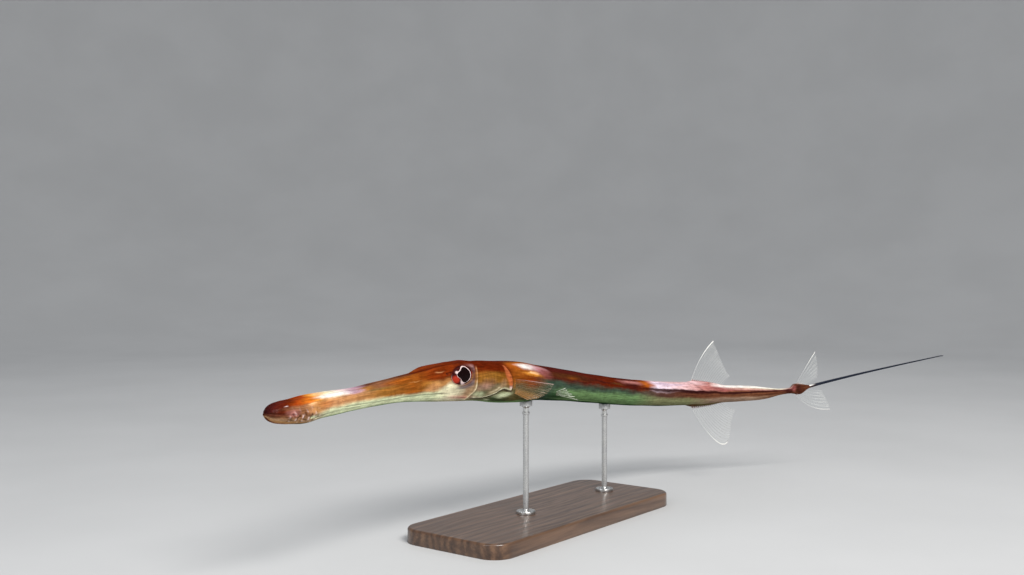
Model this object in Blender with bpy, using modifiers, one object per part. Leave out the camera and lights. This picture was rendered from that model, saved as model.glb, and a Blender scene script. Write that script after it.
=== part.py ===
"""Cornetfish: a still, life-size model on a plain display stand.

Metres, +Z up. The snout points to -X, the fish's left side faces -Y, and the tail
swings towards -Y. The origin is the middle of the stand's underside.
A station is a distance along the body, as a share of the standard length.
"""
import math

import bmesh
import bpy
import numpy as np

# Driving sizes
STANDARD_LENGTH = 0.800      # snout tip to the root of the tail fin
FILAMENT_LENGTH = 0.195      # the whip that the two middle tail rays make
GAP = 0.0003                 # left between pieces that touch
SIDES = 28                   # points round a body section
BALANCE_STATION = 0.470      # this station stands over the middle of the base

# Pose: the body is straight in plan and its tail swings round by TAIL_SWING
TAIL_SWING = math.radians(38.3)
SWING_START, SWING_END = 0.605, 0.931
AXIS_HEIGHTS = (             # station, height of the body's axis above the floor
    (0.00, 0.1526), (0.05, 0.1528), (0.12, 0.1562), (0.20, 0.1592), (0.26, 0.1608),
    (0.31, 0.1596), (0.36, 0.1560), (0.42, 0.1510), (0.50, 0.1424), (0.58, 0.1328),
    (0.66, 0.1238), (0.74, 0.1168), (0.82, 0.1130), (0.89, 0.1112), (0.95, 0.1113),
    (1.00, 0.1153), (1.03, 0.1205), (1.09, 0.1301), (1.16, 0.1403), (1.25, 0.1527))

# Body outline: station, height above the axis, depth below it, half width,
# all as shares of the standard length
BODY_OUTLINE = (
    (0.000, 0.0022, 0.0026, 0.0024), (0.004, 0.0062, 0.0068, 0.0066),
    (0.010, 0.0090, 0.0097, 0.0100), (0.020, 0.0109, 0.0117, 0.0123),
    (0.033, 0.0120, 0.0131, 0.0136), (0.048, 0.0138, 0.0146, 0.0142),
    (0.068, 0.0137, 0.0126, 0.0133), (0.090, 0.0128, 0.0124, 0.0123),
    (0.120, 0.0112, 0.0125, 0.0118), (0.150, 0.0126, 0.0128, 0.0118),
    (0.190, 0.0145, 0.0146, 0.0128), (0.215, 0.0158, 0.0170, 0.0138),
    (0.250, 0.0183, 0.0218, 0.0151), (0.285, 0.0203, 0.0240, 0.0166),
    (0.313, 0.0228, 0.0248, 0.0186), (0.350, 0.0243, 0.0263, 0.0220),
    (0.378, 0.0250, 0.0271, 0.0241), (0.405, 0.0250, 0.0262, 0.0252),
    (0.435, 0.0231, 0.0231, 0.0252), (0.470, 0.0219, 0.0219, 0.0248),
    (0.560, 0.0198, 0.0198, 0.0232), (0.660, 0.0191, 0.0191, 0.0216),
    (0.750, 0.0182, 0.0182, 0.0198), (0.795, 0.0172, 0.0172, 0.0182),
    (0.830, 0.0152, 0.0155, 0.0160), (0.857, 0.0133, 0.0132, 0.0138),
    (0.890, 0.0124, 0.0124, 0.0118), (0.925, 0.0102, 0.0104, 0.0096),
    (0.943, 0.0078, 0.0080, 0.0084), (0.960, 0.0051, 0.0051, 0.0072),
    (0.974, 0.0045, 0.0045, 0.0064), (0.9805, 0.0050, 0.0050, 0.0060),
    (0.9845, 0.0088, 0.0061, 0.0056), (0.990, 0.0091, 0.0072, 0.0050),
    (0.996, 0.0083, 0.0078, 0.0044), (1.001, 0.0070, 0.0063, 0.0037),
    (1.006, 0.0047, 0.0040, 0.0030), (1.012, 0.0024, 0.0024, 0.0024))

# How square a section is: station, exponent of the upper half, exponent of the lower
SQUARENESS = (
    (0.00, 2.1, 2.1), (0.05, 2.6, 2.3), (0.20, 2.8, 2.3), (0.29, 2.7, 2.2),
    (0.36, 2.4, 2.3), (0.50, 2.5, 2.5), (0.78, 2.3, 2.3), (0.96, 2.0, 2.0),
    (1.012, 2.0, 2.0))

# Where the body is parted, as stations
JAW_STATIONS = (0.0012, 0.0026, 0.0055, 0.0105)     # rings close together at the blunt tip
JAW_END, SNOUT_END, HEAD_END = 0.042, 0.212, 0.369
TRUNK_CUTS = (0.369, 0.512, 0.656, 0.792)
STALK_END, BODY_END = 0.966, 1.012
RING_STEP = {"snout": 0.0090, "head": 0.0056, "trunk": 0.013, "stalk": 0.0090, "root": 0.0051}

# Mouth line: station, height over the axis as a share of the standard length
MOUTH_LINE = ((0.0, 0.0004), (0.02, -0.0014), (0.045, -0.0052))
LIP_HEIGHT = 0.0005          # share of the standard length

# Ridges and hollows along the body: height as a share of the standard length, angle up
# the side (90 back, 0 side, -90 belly), half width in degrees, then the stations where
# it starts, is full, starts to fade and has gone
RIDGES = (
    (0.0047, 58, 15, 0.208, 0.240, 0.300, 0.335),      # brow over the eye
    (-0.0010, 90, 16, 0.208, 0.240, 0.300, 0.335),     # hollow between the brows
    (0.0007, 46, 9, 0.045, 0.080, 0.290, 0.330),       # upper edge of the snout
    (-0.0006, -38, 8, 0.045, 0.080, 0.290, 0.330),     # hollow along the snout's lower side
    (0.0030, 90, 14, 0.792, 0.806, 0.835, 0.872),      # seat of the dorsal fin
    (0.0030, -90, 14, 0.792, 0.806, 0.835, 0.872),     # seat of the anal fin
    (0.0007, 0, 12, 0.862, 0.890, 0.940, 0.966),       # keel on the side of the tail stalk
)

# Ridge in front of the gill cover: station at the side, how far it leans forward to the
# belly, half width and height, all as shares of the standard length
CHEEK_ARC = (0.3035, 0.013, 0.0045, 0.0010)

# Eye: an oval ball, longer than it is tall
EYE_STATION = 0.2800
EYE_RISE = 0.0056
EYE_RADII = (0.0196, 0.0060, 0.0106)
EYE_BULGE = 0.0020

# Nostrils: station, angle up the side, radius
NOSTRILS = ((0.2545, 27, 0.0013), (0.2590, 30, 0.0016))

# Gill cover: angle up the side in degrees, front station, rear station
GILL_COVER = ((-68, 0.2985, 0.3130), (-54, 0.3030, 0.3240), (-40, 0.3055, 0.3320),
              (-28, 0.3075, 0.3400), (-19, 0.3085, 0.3530), (-10, 0.3090, 0.3648),
              (2, 0.3090, 0.3655), (16, 0.3080, 0.3630), (34, 0.3055, 0.3580),
              (48, 0.3040, 0.3530))
COVER_ROWS, COVER_COLUMNS = 17, 7
COVER_THICKNESS = 0.0016
OPENING_REACH = 0.003        # how far the gill opening's cutter stands out of the skin

# Fins. Stations and lengths are shares of the standard length, angles are in degrees.
# rise is the first ray's angle from the tail's direction, curl how far rays bend back, and
# hook how far the longest rays' tips bend on
DORSAL_FIN = dict(start=0.804, end=0.859, longest=0.0750, rise=70, curl=30, hook=0, rows=9)
ANAL_FIN = dict(start=0.806, end=0.861, longest=0.1010, rise=55, curl=29, hook=109, rows=14)
UPPER_LOBE = dict(start=0.9900, end=1.0050, longest=0.060, rise=46, curl=3)
LOWER_LOBE = dict(start=0.9860, end=1.0050, longest=0.0700, rise=64, curl=56)
# angles: where the first and last ray leave the side; drop: how far below the tail's
# direction they point; splay: how far they stand out from the body
PECTORAL_FIN = dict(station=0.3710, angles=(6, -30), lengths=(0.054, 0.0185), drop=(5, 26),
                    fall=1.3, splay=24, rays=12, rows=7)
PELVIC_FIN = dict(station=0.4600, angles=(-22, -36), lengths=(0.0133, 0.0308), drop=(-37, 11),
                  fall=0.8, splay=42, rays=6, rows=6)
ROOT_SPLAY = 66              # paired fins leave the skin this steeply, then turn back
RAY, WEB, FIN_TIP = 0.0013, 0.0006, 0.0004     # thickness of rays, of the web and at the tips
SMALL_RAY = 0.0010
FILAMENT_RADIUS, FILAMENT_TAPER = 0.0019, 0.68

# Stand
BASE_SIZE = (0.320, 0.125, 0.015)
BASE_CORNER = 0.022
ROD_RADIUS = 0.003
ROD_STATIONS = {"front": 0.425, "rear": 0.610}
ROD_FOOT_RADIUS, ROD_FOOT_HEIGHT = 0.010, 0.003
SADDLE_RADIUS, SADDLE_HEIGHT = 0.0065, 0.005

COLOURS = {                  # name: (red, green, blue), roughness, metallic
    "back": ((0.36, 0.11, 0.03), 0.35, 0.0),
    "snout": ((0.42, 0.16, 0.05), 0.35, 0.0),
    "side": ((0.33, 0.30, 0.14), 0.30, 0.1),
    "gill": ((0.40, 0.24, 0.08), 0.30, 0.1),
    "fin": ((0.70, 0.72, 0.66), 0.40, 0.0),
    "filament": ((0.03, 0.04, 0.07), 0.40, 0.0),
    "eye": ((0.02, 0.015, 0.015), 0.08, 0.0),
    "wood": ((0.10, 0.05, 0.03), 0.35, 0.0),
    "steel": ((0.60, 0.60, 0.60), 0.30, 1.0),
}


def smooth_curve(points):
    """A smooth function through (position, value) points, with averaged slopes."""
    xs, ys = np.array(points, dtype=float).T
    slopes = np.gradient(ys, xs)

    def value(x):
        i = np.clip(np.searchsorted(xs, x) - 1, 0, len(xs) - 2)
        step = xs[i + 1] - xs[i]
        t = np.clip((x - xs[i]) / step, 0.0, 1.0)
        start = ys[i] * (1 + 2 * t) * (1 - t) ** 2 + slopes[i] * step * t * (1 - t) ** 2
        end = ys[i + 1] * t * t * (3 - 2 * t) - slopes[i + 1] * step * t * t * (1 - t)
        return start + end

    return value


def ease(x, start, end):
    t = np.clip((x - start) / (end - start), 0.0, 1.0)
    return t * t * (3 - 2 * t)


def bump(x, centre, width):
    return np.exp(-((x - centre) / width) ** 2)


def unit(v):
    return v / np.linalg.norm(v, axis=-1, keepdims=True)


def column(table, index):
    return smooth_curve([(row[0], row[index]) for row in table])


axis_height = smooth_curve(AXIS_HEIGHTS)
height_above, depth_below, half_width = (column(BODY_OUTLINE, k) for k in (1, 2, 3))
squareness_up, squareness_down = (column(SQUARENESS, k) for k in (1, 2))
mouth_height = smooth_curve(MOUTH_LINE)

# The axis in plan: the running sum of the heading, over fine steps
STATIONS = np.linspace(0.0, 1.3, 1301)
HEADINGS = -TAIL_SWING * ease(STATIONS, SWING_START, SWING_END)


def running_sum(values):
    step = (STATIONS[1] - STATIONS[0]) * STANDARD_LENGTH
    return np.concatenate([[0.0], np.cumsum((values[1:] + values[:-1]) / 2) * step])


PLAN_X = running_sum(np.cos(HEADINGS)) - BALANCE_STATION * STANDARD_LENGTH
PLAN_Y = running_sum(np.sin(HEADINGS))


def frame_at(s):
    """Axis point, direction to the tail, fish's left and up, for stations s."""
    s = np.asarray(s, dtype=float)
    point = np.stack([np.interp(s, STATIONS, PLAN_X), np.interp(s, STATIONS, PLAN_Y),
                      axis_height(s)], axis=-1)
    heading = np.interp(s, STATIONS, HEADINGS)
    slope = (axis_height(s + 0.004) - axis_height(s - 0.004)) / (0.008 * STANDARD_LENGTH)
    tailward = unit(np.stack([np.cos(heading), np.sin(heading), slope], axis=-1))
    left = np.stack([np.sin(heading), -np.cos(heading), np.zeros_like(heading)], axis=-1)
    return point, tailward, left, np.cross(left, tailward)


def relief(s, angle):
    """Ridges and hollows of the skin, outwards, as shares of the standard length."""
    side = 90 - np.abs(np.remainder(angle + 90, 360) - 180)
    total = LIP_HEIGHT * (1 - ease(s, 0.036, 0.050)) * bump(side, -8 - 260 * s, 10)
    for height, centre, width, begins, full, fades, gone in RIDGES:
        share = ease(s, begins, full) * (1 - ease(s, fades, gone))
        total = total + height * share * bump(side, centre, width)
    station, lean, width, height = CHEEK_ARC
    arc = bump(s, station - lean * ease(-side, 10, 66), width)
    return total + height * arc * ease(side, -72, -55) * (1 - ease(side, 30, 46))


def body_point(s, angle, offset=0.0):
    """Point of the skin. angle is 0 at the fish's left, 90 on its back, 180 at its right."""
    s, angle = np.broadcast_arrays(np.asarray(s, dtype=float), np.asarray(angle, dtype=float))
    point, _, left, up = frame_at(s)
    c, d = np.cos(np.radians(angle)), np.sin(np.radians(angle))
    power = np.where(d >= 0, squareness_up(s), squareness_down(s))
    rise = np.where(d >= 0, height_above(s), depth_below(s))
    across = half_width(s) * np.sign(c) * np.abs(c) ** (2 / power) * STANDARD_LENGTH
    upward = rise * np.sign(d) * np.abs(d) ** (2 / power) * STANDARD_LENGTH
    reach = np.hypot(across, upward)
    scale = 1 + (relief(s, angle) * STANDARD_LENGTH + offset) / reach
    return point + (across * scale)[..., None] * left + (upward * scale)[..., None] * up


def material(name):
    colour, roughness, metallic = COLOURS[name]
    found = bpy.data.materials.get(name)
    if found:
        return found
    made = bpy.data.materials.new(name)
    made.use_nodes = True
    shader = made.node_tree.nodes["Principled BSDF"]
    shader.inputs["Base Color"].default_value = (*colour, 1.0)
    shader.inputs["Roughness"].default_value = roughness
    shader.inputs["Metallic"].default_value = metallic
    return made


def add_object(name, points, faces, colour, collection):
    mesh = bpy.data.meshes.new(name)
    mesh.from_pydata([tuple(p) for p in points], [], faces)
    check = bmesh.new()
    check.from_mesh(mesh)
    bmesh.ops.recalc_face_normals(check, faces=check.faces)
    check.to_mesh(mesh)
    check.free()
    mesh.shade_smooth()
    mesh.set_sharp_from_angle(angle=math.radians(40))
    made = bpy.data.objects.new(name, mesh)
    made.data.materials.append(material(colour))
    collection.objects.link(made)
    return made


def loft(name, rings, colour, collection):
    """A closed skin over rings of equal count, flat at both ends."""
    count, sides = rings.shape[:2]
    faces = []
    for i in range(count - 1):
        for j in range(sides):
            k = (j + 1) % sides
            faces.append((i * sides + j, i * sides + k, (i + 1) * sides + k, (i + 1) * sides + j))
    faces.append(tuple(range(sides)))
    faces.append(tuple(range((count - 1) * sides, count * sides)))
    return add_object(name, rings.reshape(-1, 3), faces, colour, collection)


def slab(name, front, back, colour, collection):
    """A thin closed piece between two like grids, split into triangles alike on both."""
    columns, rows = front.shape[:2]
    total = columns * rows
    faces = []
    for i in range(columns - 1):
        for j in range(rows - 1):
            a, b = i * rows + j, (i + 1) * rows + j
            for tri in ((a, b, b + 1), (a, b + 1, a + 1)):
                faces.append(tri)
                faces.append(tuple(total + k for k in reversed(tri)))
    rim = [i * rows for i in range(columns)]
    rim += [(columns - 1) * rows + j for j in range(1, rows)]
    rim += [i * rows + rows - 1 for i in range(columns - 2, -1, -1)]
    rim += list(range(rows - 2, 0, -1))
    for a, b in zip(rim, rim[1:] + rim[:1]):
        faces.append((b, a, total + a))
        faces.append((b, total + a, total + b))
    points = np.concatenate([front.reshape(-1, 3), back.reshape(-1, 3)])
    return add_object(name, points, faces, colour, collection)


def stations_between(start, end, step):
    return np.linspace(start, end, max(2, round((end - start) / step) + 1))


def body_length(name, start, end, step, colour, collection):
    """One length of the body, cut square at both ends."""
    half = GAP / STANDARD_LENGTH / 2
    s = stations_between(start + half, end - half, step)
    angle = np.arange(SIDES) * 360 / SIDES
    return loft(name, body_point(s[:, None], angle[None, :]), colour, collection)


def jaw(name, upper, colour, collection):
    """The snout's tip above or below the mouth line."""
    s = np.concatenate([JAW_STATIONS, np.linspace(0.018, JAW_END - GAP, 5)])
    sign = 1 if upper else -1
    level = mouth_height(s) + sign * GAP / 2 / STANDARD_LENGTH
    rise = np.where(level >= 0, height_above(s), depth_below(s))
    power = np.where(level >= 0, squareness_up(s), squareness_down(s))
    start = np.degrees(np.arcsin(np.sign(level) * (np.abs(level) / rise) ** (power / 2)))
    end = 180 - start if upper else -180 - start
    t = np.linspace(0, 1, SIDES // 2 + 1)
    angle = start[:, None] + (end - start)[:, None] * t[None, :]
    return loft(name, body_point(s[:, None], angle), colour, collection)


def eye_centre(side):
    point, _, left, up = frame_at(EYE_STATION)
    side_angle = math.degrees(math.atan2(EYE_RISE, float(half_width(EYE_STATION)) * STANDARD_LENGTH))
    surface = body_point(EYE_STATION, side_angle)
    reach = float(np.dot(surface - point, left))
    return point + left * side * (reach + EYE_BULGE - EYE_RADII[1]) + up * EYE_RISE


def ball(name, centre, radii, colour, collection, segments=20, rings=10):
    mesh = bpy.data.meshes.new(name)
    shape = bmesh.new()
    bmesh.ops.create_uvsphere(shape, u_segments=segments, v_segments=rings, radius=1.0)
    for vert in shape.verts:
        vert.co = [centre[k] + vert.co[k] * radii[k] for k in range(3)]
    shape.to_mesh(mesh)
    shape.free()
    mesh.shade_smooth()
    made = bpy.data.objects.new(name, mesh)
    made.data.materials.append(material(colour))
    collection.objects.link(made)
    return made


def cover_grid(offset, side, grow=0.0):
    """The gill cover's outline as a grid, at an offset from the skin."""
    angles, fronts, rears = np.array(GILL_COVER, dtype=float).T
    front, rear = (smooth_curve(list(zip(angles, v))) for v in (fronts, rears))
    turn = math.degrees(grow / (0.02 * STANDARD_LENGTH))
    u = np.linspace(0, 1, COVER_ROWS)[:, None]
    v = np.linspace(0, 1, COVER_COLUMNS)[None, :]
    inner = angles[0] + (angles[-1] - angles[0]) * u
    angle = angles[0] - turn + (angles[-1] - angles[0] + 2 * turn) * u
    more = grow / STANDARD_LENGTH
    s = (front(inner) - more) * (1 - v) + (rear(inner) + more) * v
    return body_point(s, angle if side > 0 else 180 - angle, offset)


def cut(target, cutters):
    modifier = target.modifiers.new("openings", "BOOLEAN")
    modifier.operation = "DIFFERENCE"
    modifier.operand_type = "COLLECTION"
    modifier.collection = cutters


def as_cutter(made):
    made.hide_render = True
    made.display_type = "WIRE"


def build_head(parts, cutters):
    head = body_length("head", SNOUT_END, HEAD_END, RING_STEP["head"], "back", parts)
    for side, word in ((1, "left"), (-1, "right")):
        centre = eye_centre(side)
        ball("eye_" + word, centre, EYE_RADII, "eye", parts)
        as_cutter(ball("orbit_" + word, centre, [r + GAP for r in EYE_RADII], "eye", cutters))
        slab("gill_cover_" + word, cover_grid(GAP, side), cover_grid(-COVER_THICKNESS, side),
             "gill", parts)
        as_cutter(slab("gill_opening_" + word, cover_grid(OPENING_REACH, side, GAP),
                       cover_grid(-COVER_THICKNESS - GAP, side, GAP), "gill", cutters))
        for number, (station, angle, radius) in enumerate(NOSTRILS):
            place = body_point(station, angle if side > 0 else 180 - angle)
            as_cutter(ball(f"nostril_{word}_{number}", place, [radius] * 3, "eye", cutters, 10, 6))
    cut(head, cutters)


def fan(base, length, direction, rows):
    """Points along each ray: its base, then steps along its own turning direction."""
    v = np.linspace(0, 1, rows)
    way = np.stack([direction(x) for x in v], axis=1)
    mid = (way[:, 1:] + way[:, :-1]) / 2
    steps = mid * (length[:, None, None] / (rows - 1))
    return np.concatenate([base[:, None, :], base[:, None, :] + np.cumsum(steps, axis=1)], axis=1)


def fin(name, base, length, direction, rows, collection, ray=RAY):
    """A fin of rays joined by webs: every other column is a raised ray."""
    points = fan(base, length, direction, rows)
    normal = unit(np.cross(np.gradient(points, axis=0), np.gradient(points, axis=1)))
    v = np.linspace(0, 1, rows)[None, :]
    is_ray = (np.arange(len(base)) % 2 == 0)[:, None]
    thick = np.where(is_ray, ray + (FIN_TIP - ray) * v, WEB + (FIN_TIP - WEB) * v ** 3)
    half = normal * thick[..., None] / 2
    return slab(name, points + half, points - half, "fin", collection)


def tilted(tailward, out, angle):
    """Direction at an angle in degrees from the tail's direction towards out."""
    angle = np.radians(angle)
    return np.cos(angle)[:, None] * tailward + np.sin(angle)[:, None] * out


def median_fin(name, upper, collection, start, end, longest, rise, curl, hook, rows, rays=16):
    """Dorsal or anal fin: long curved front rays, a hollow rear edge."""
    u = np.linspace(0, 1, 2 * rays - 1)
    s = start + (end - start) * u
    base = body_point(s, 90 if upper else 270, GAP)
    _, tailward, _, up = frame_at(s)
    out = up if upper else -up
    length = longest * STANDARD_LENGTH * (0.28 + 0.72 * (1 - u) ** 1.3)

    def direction(v):
        bend = curl * v ** 1.5 * (1 - 0.4 * u) + hook * v ** 12 * (1 - u) ** 3
        return tilted(tailward, out, rise - 20 * u - bend)

    return fin(name, base, length, direction, rows, collection)


def tail_lobe(name, upper, collection, start, end, longest, rise, curl, rays=7, rows=8):
    """Half of the forked tail fin, spread above or below the filament."""
    u = np.linspace(0, 1, 2 * rays - 1)
    s = start + (end - start) * u
    base = body_point(s, 90 if upper else 270, GAP)
    _, tailward, _, up = frame_at(np.full_like(s, BODY_END))
    out = up if upper else -up
    length = longest * STANDARD_LENGTH * (0.40 + 0.60 * (1 - u) ** 1.2)

    def direction(v):
        return tilted(tailward, out, rise * (1 - 0.7 * u) - curl * v * (1 - 0.8 * u))

    return fin(name, base, length, direction, rows, collection, SMALL_RAY)


def paired_fin(name, side, collection, station, angles, lengths, drop, fall, splay, rays, rows):
    """Pectoral or pelvic fin: a small fan that leaves the side and turns back along it."""
    u = np.linspace(0, 1, 2 * rays - 1)
    angle = angles[0] + (angles[1] - angles[0]) * u
    s = station + 0.0025 * u
    base = body_point(s, angle if side > 0 else 180 - angle, 2 * GAP)
    _, tailward, left, up = frame_at(s)
    length = STANDARD_LENGTH * (lengths[0] + (lengths[1] - lengths[0]) * u ** 1.5)

    def direction(v):
        lean = math.radians(splay + (ROOT_SPLAY - splay) * (1 - ease(v, 0.0, 0.35)))
        back = tilted(tailward, -up, drop[0] + (drop[1] - drop[0]) * u ** fall)
        return math.cos(lean) * back + math.sin(lean) * side * left

    return fin(name, base, length, direction, rows, collection, SMALL_RAY)


def tail_filament(name, start, end, collection):
    """One length of the whip: a tapered wire along the axis behind the tail's root."""
    first = BODY_END + GAP / 2 / STANDARD_LENGTH
    reach = FILAMENT_LENGTH / STANDARD_LENGTH
    s = np.linspace(start, end, 14)
    points = frame_at(first + reach * s)[0]
    curve = bpy.data.curves.new(name, "CURVE")
    curve.dimensions = "3D"
    curve.bevel_depth = FILAMENT_RADIUS
    curve.bevel_resolution = 2
    curve.use_fill_caps = True
    spline = curve.splines.new("POLY")
    spline.points.add(len(points) - 1)
    for place, point, t in zip(spline.points, points, s):
        place.co = (*point, 1.0)
        place.radius = 1.0 - FILAMENT_TAPER * t ** 0.8
    made = bpy.data.objects.new(name, curve)
    curve.materials.append(material("filament"))
    collection.objects.link(made)
    return made


def belly_height(x, y, station):
    """Height of the belly over a point of the floor near a station."""
    s = station + np.linspace(-0.03, 0.03, 121)
    point, _, left, _ = frame_at(s)
    nearest = np.argmin((point[:, 0] - x) ** 2 + (point[:, 1] - y) ** 2)
    across = abs((x - point[nearest, 0]) * left[nearest, 0] + (y - point[nearest, 1]) * left[nearest, 1])
    share = min(across / (float(half_width(s[nearest])) * STANDARD_LENGTH), 1.0)
    power = float(squareness_down(s[nearest]))
    depth = float(depth_below(s[nearest])) * STANDARD_LENGTH * (1 - share ** power) ** (1 / power)
    return point[nearest, 2] - depth


def build_rod(word, station, collection, sides=20):
    """A rod with a round foot, and a saddle that fits the belly."""
    x, y, _ = frame_at(station)[0]
    foot = BASE_SIZE[2] + GAP
    lowest = belly_height(x, y, station) - GAP
    profile = [(ROD_FOOT_RADIUS, foot), (ROD_FOOT_RADIUS, foot + ROD_FOOT_HEIGHT),
               (ROD_RADIUS, foot + ROD_FOOT_HEIGHT + 0.0015),
               (ROD_RADIUS, lowest - SADDLE_HEIGHT - 0.003),
               (SADDLE_RADIUS, lowest - SADDLE_HEIGHT)]
    turn = np.arange(sides) * 2 * math.pi / sides
    rings = [[(x + r * math.cos(a), y + r * math.sin(a), z) for a in turn] for r, z in profile]
    for r in (SADDLE_RADIUS, SADDLE_RADIUS * 0.6, SADDLE_RADIUS * 0.2):
        rim = [(x + r * math.cos(a), y + r * math.sin(a)) for a in turn]
        rings.append([(px, py, belly_height(px, py, station) - GAP) for px, py in rim])
    loft("stand_rod_" + word, np.array(rings), "steel", collection)


def build_base(collection):
    mesh = bpy.data.meshes.new("stand_base")
    shape = bmesh.new()
    bmesh.ops.create_cube(shape, size=1.0)
    for vert in shape.verts:
        vert.co = (vert.co.x * BASE_SIZE[0], vert.co.y * BASE_SIZE[1], (vert.co.z + 0.5) * BASE_SIZE[2])
    upright = [e for e in shape.edges if abs(e.verts[0].co.z - e.verts[1].co.z) > BASE_SIZE[2] / 2]
    bmesh.ops.bevel(shape, geom=upright, offset=BASE_CORNER, segments=6, profile=0.5, affect="EDGES")
    shape.to_mesh(mesh)
    shape.free()
    made = bpy.data.objects.new("stand_base", mesh)
    made.data.materials.append(material("wood"))
    collection.objects.link(made)
    edge = made.modifiers.new("edge", "BEVEL")
    edge.width = 0.0025
    edge.segments = 2
    edge.limit_method = "ANGLE"
    edge.angle_limit = math.radians(40)


def build():
    for old in list(bpy.data.objects):
        bpy.data.objects.remove(old, do_unlink=True)
    parts = bpy.data.collections.new("cornetfish")
    cutters = bpy.data.collections.new("cutters")
    for group in (parts, cutters):
        bpy.context.scene.collection.children.link(group)

    jaw("upper_jaw", True, "snout", parts)
    jaw("lower_jaw", False, "snout", parts)
    body_length("snout", JAW_END, SNOUT_END, RING_STEP["snout"], "snout", parts)
    build_head(parts, cutters)
    for word, start, end in zip(("front", "middle", "rear"), TRUNK_CUTS, TRUNK_CUTS[1:]):
        body_length("trunk_" + word, start, end, RING_STEP["trunk"], "side", parts)
    body_length("tail_stalk", TRUNK_CUTS[-1], STALK_END, RING_STEP["stalk"], "side", parts)
    body_length("tail_root", STALK_END, BODY_END, RING_STEP["root"], "back", parts)

    median_fin("dorsal_fin", True, parts, **DORSAL_FIN)
    median_fin("anal_fin", False, parts, **ANAL_FIN)
    tail_lobe("tail_fin_upper", True, parts, **UPPER_LOBE)
    tail_lobe("tail_fin_lower", False, parts, **LOWER_LOBE)
    tail_filament("tail_filament_front", 0.0, 0.5, parts)
    tail_filament("tail_filament_rear", 0.5 + GAP / FILAMENT_LENGTH, 1.0, parts)
    for side, word in ((1, "left"), (-1, "right")):
        paired_fin("pectoral_fin_" + word, side, parts, **PECTORAL_FIN)
        paired_fin("pelvic_fin_" + word, side, parts, **PELVIC_FIN)

    build_base(parts)
    for word, station in ROD_STATIONS.items():
        build_rod(word, station, parts)


build()
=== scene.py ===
import math
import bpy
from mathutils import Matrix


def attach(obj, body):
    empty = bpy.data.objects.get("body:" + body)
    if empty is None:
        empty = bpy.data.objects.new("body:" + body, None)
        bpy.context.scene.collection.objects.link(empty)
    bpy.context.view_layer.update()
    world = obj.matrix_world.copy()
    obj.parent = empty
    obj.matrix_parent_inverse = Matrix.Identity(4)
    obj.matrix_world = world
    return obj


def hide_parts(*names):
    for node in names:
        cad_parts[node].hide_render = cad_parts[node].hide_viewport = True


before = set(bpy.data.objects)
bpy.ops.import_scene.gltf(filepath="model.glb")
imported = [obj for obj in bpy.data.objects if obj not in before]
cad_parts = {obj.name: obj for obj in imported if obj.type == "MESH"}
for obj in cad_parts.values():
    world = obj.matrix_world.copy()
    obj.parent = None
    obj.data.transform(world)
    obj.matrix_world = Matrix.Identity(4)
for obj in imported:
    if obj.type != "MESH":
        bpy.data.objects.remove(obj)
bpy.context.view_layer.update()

from types import SimpleNamespace

import bpy
import numpy as np

print("frame loaded, nodes:", len(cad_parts))


# Curves and easing, all on whole arrays

def smoothCurve(points):
    # a cubic through (position, value) points whose slope at each is the average of its neighbours'
    xs, ys = np.array(points, dtype=float).T
    slopes = np.gradient(ys, xs)

    def value(x):
        i = np.clip(np.searchsorted(xs, x) - 1, 0, len(xs) - 2)
        step = xs[i + 1] - xs[i]
        t = np.clip((x - xs[i]) / step, 0.0, 1.0)
        start = ys[i] * (1 + 2 * t) * (1 - t) ** 2 + slopes[i] * step * t * (1 - t) ** 2
        end = ys[i + 1] * t * t * (3 - 2 * t) - slopes[i + 1] * step * t * t * (1 - t)
        return start + end

    return value


def ease(x, start, end):
    t = np.clip((x - start) / (end - start), 0.0, 1.0)
    return t * t * (3 - 2 * t)


def bump(x, centre, width):
    return np.exp(-((x - centre) / width) ** 2)


def between(x, start, full, fades, gone):
    return ease(x, start, full) * (1 - ease(x, fades, gone))


def unit(v):
    return v / np.maximum(np.linalg.norm(v, axis=-1, keepdims=True), 1e-12)


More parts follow.
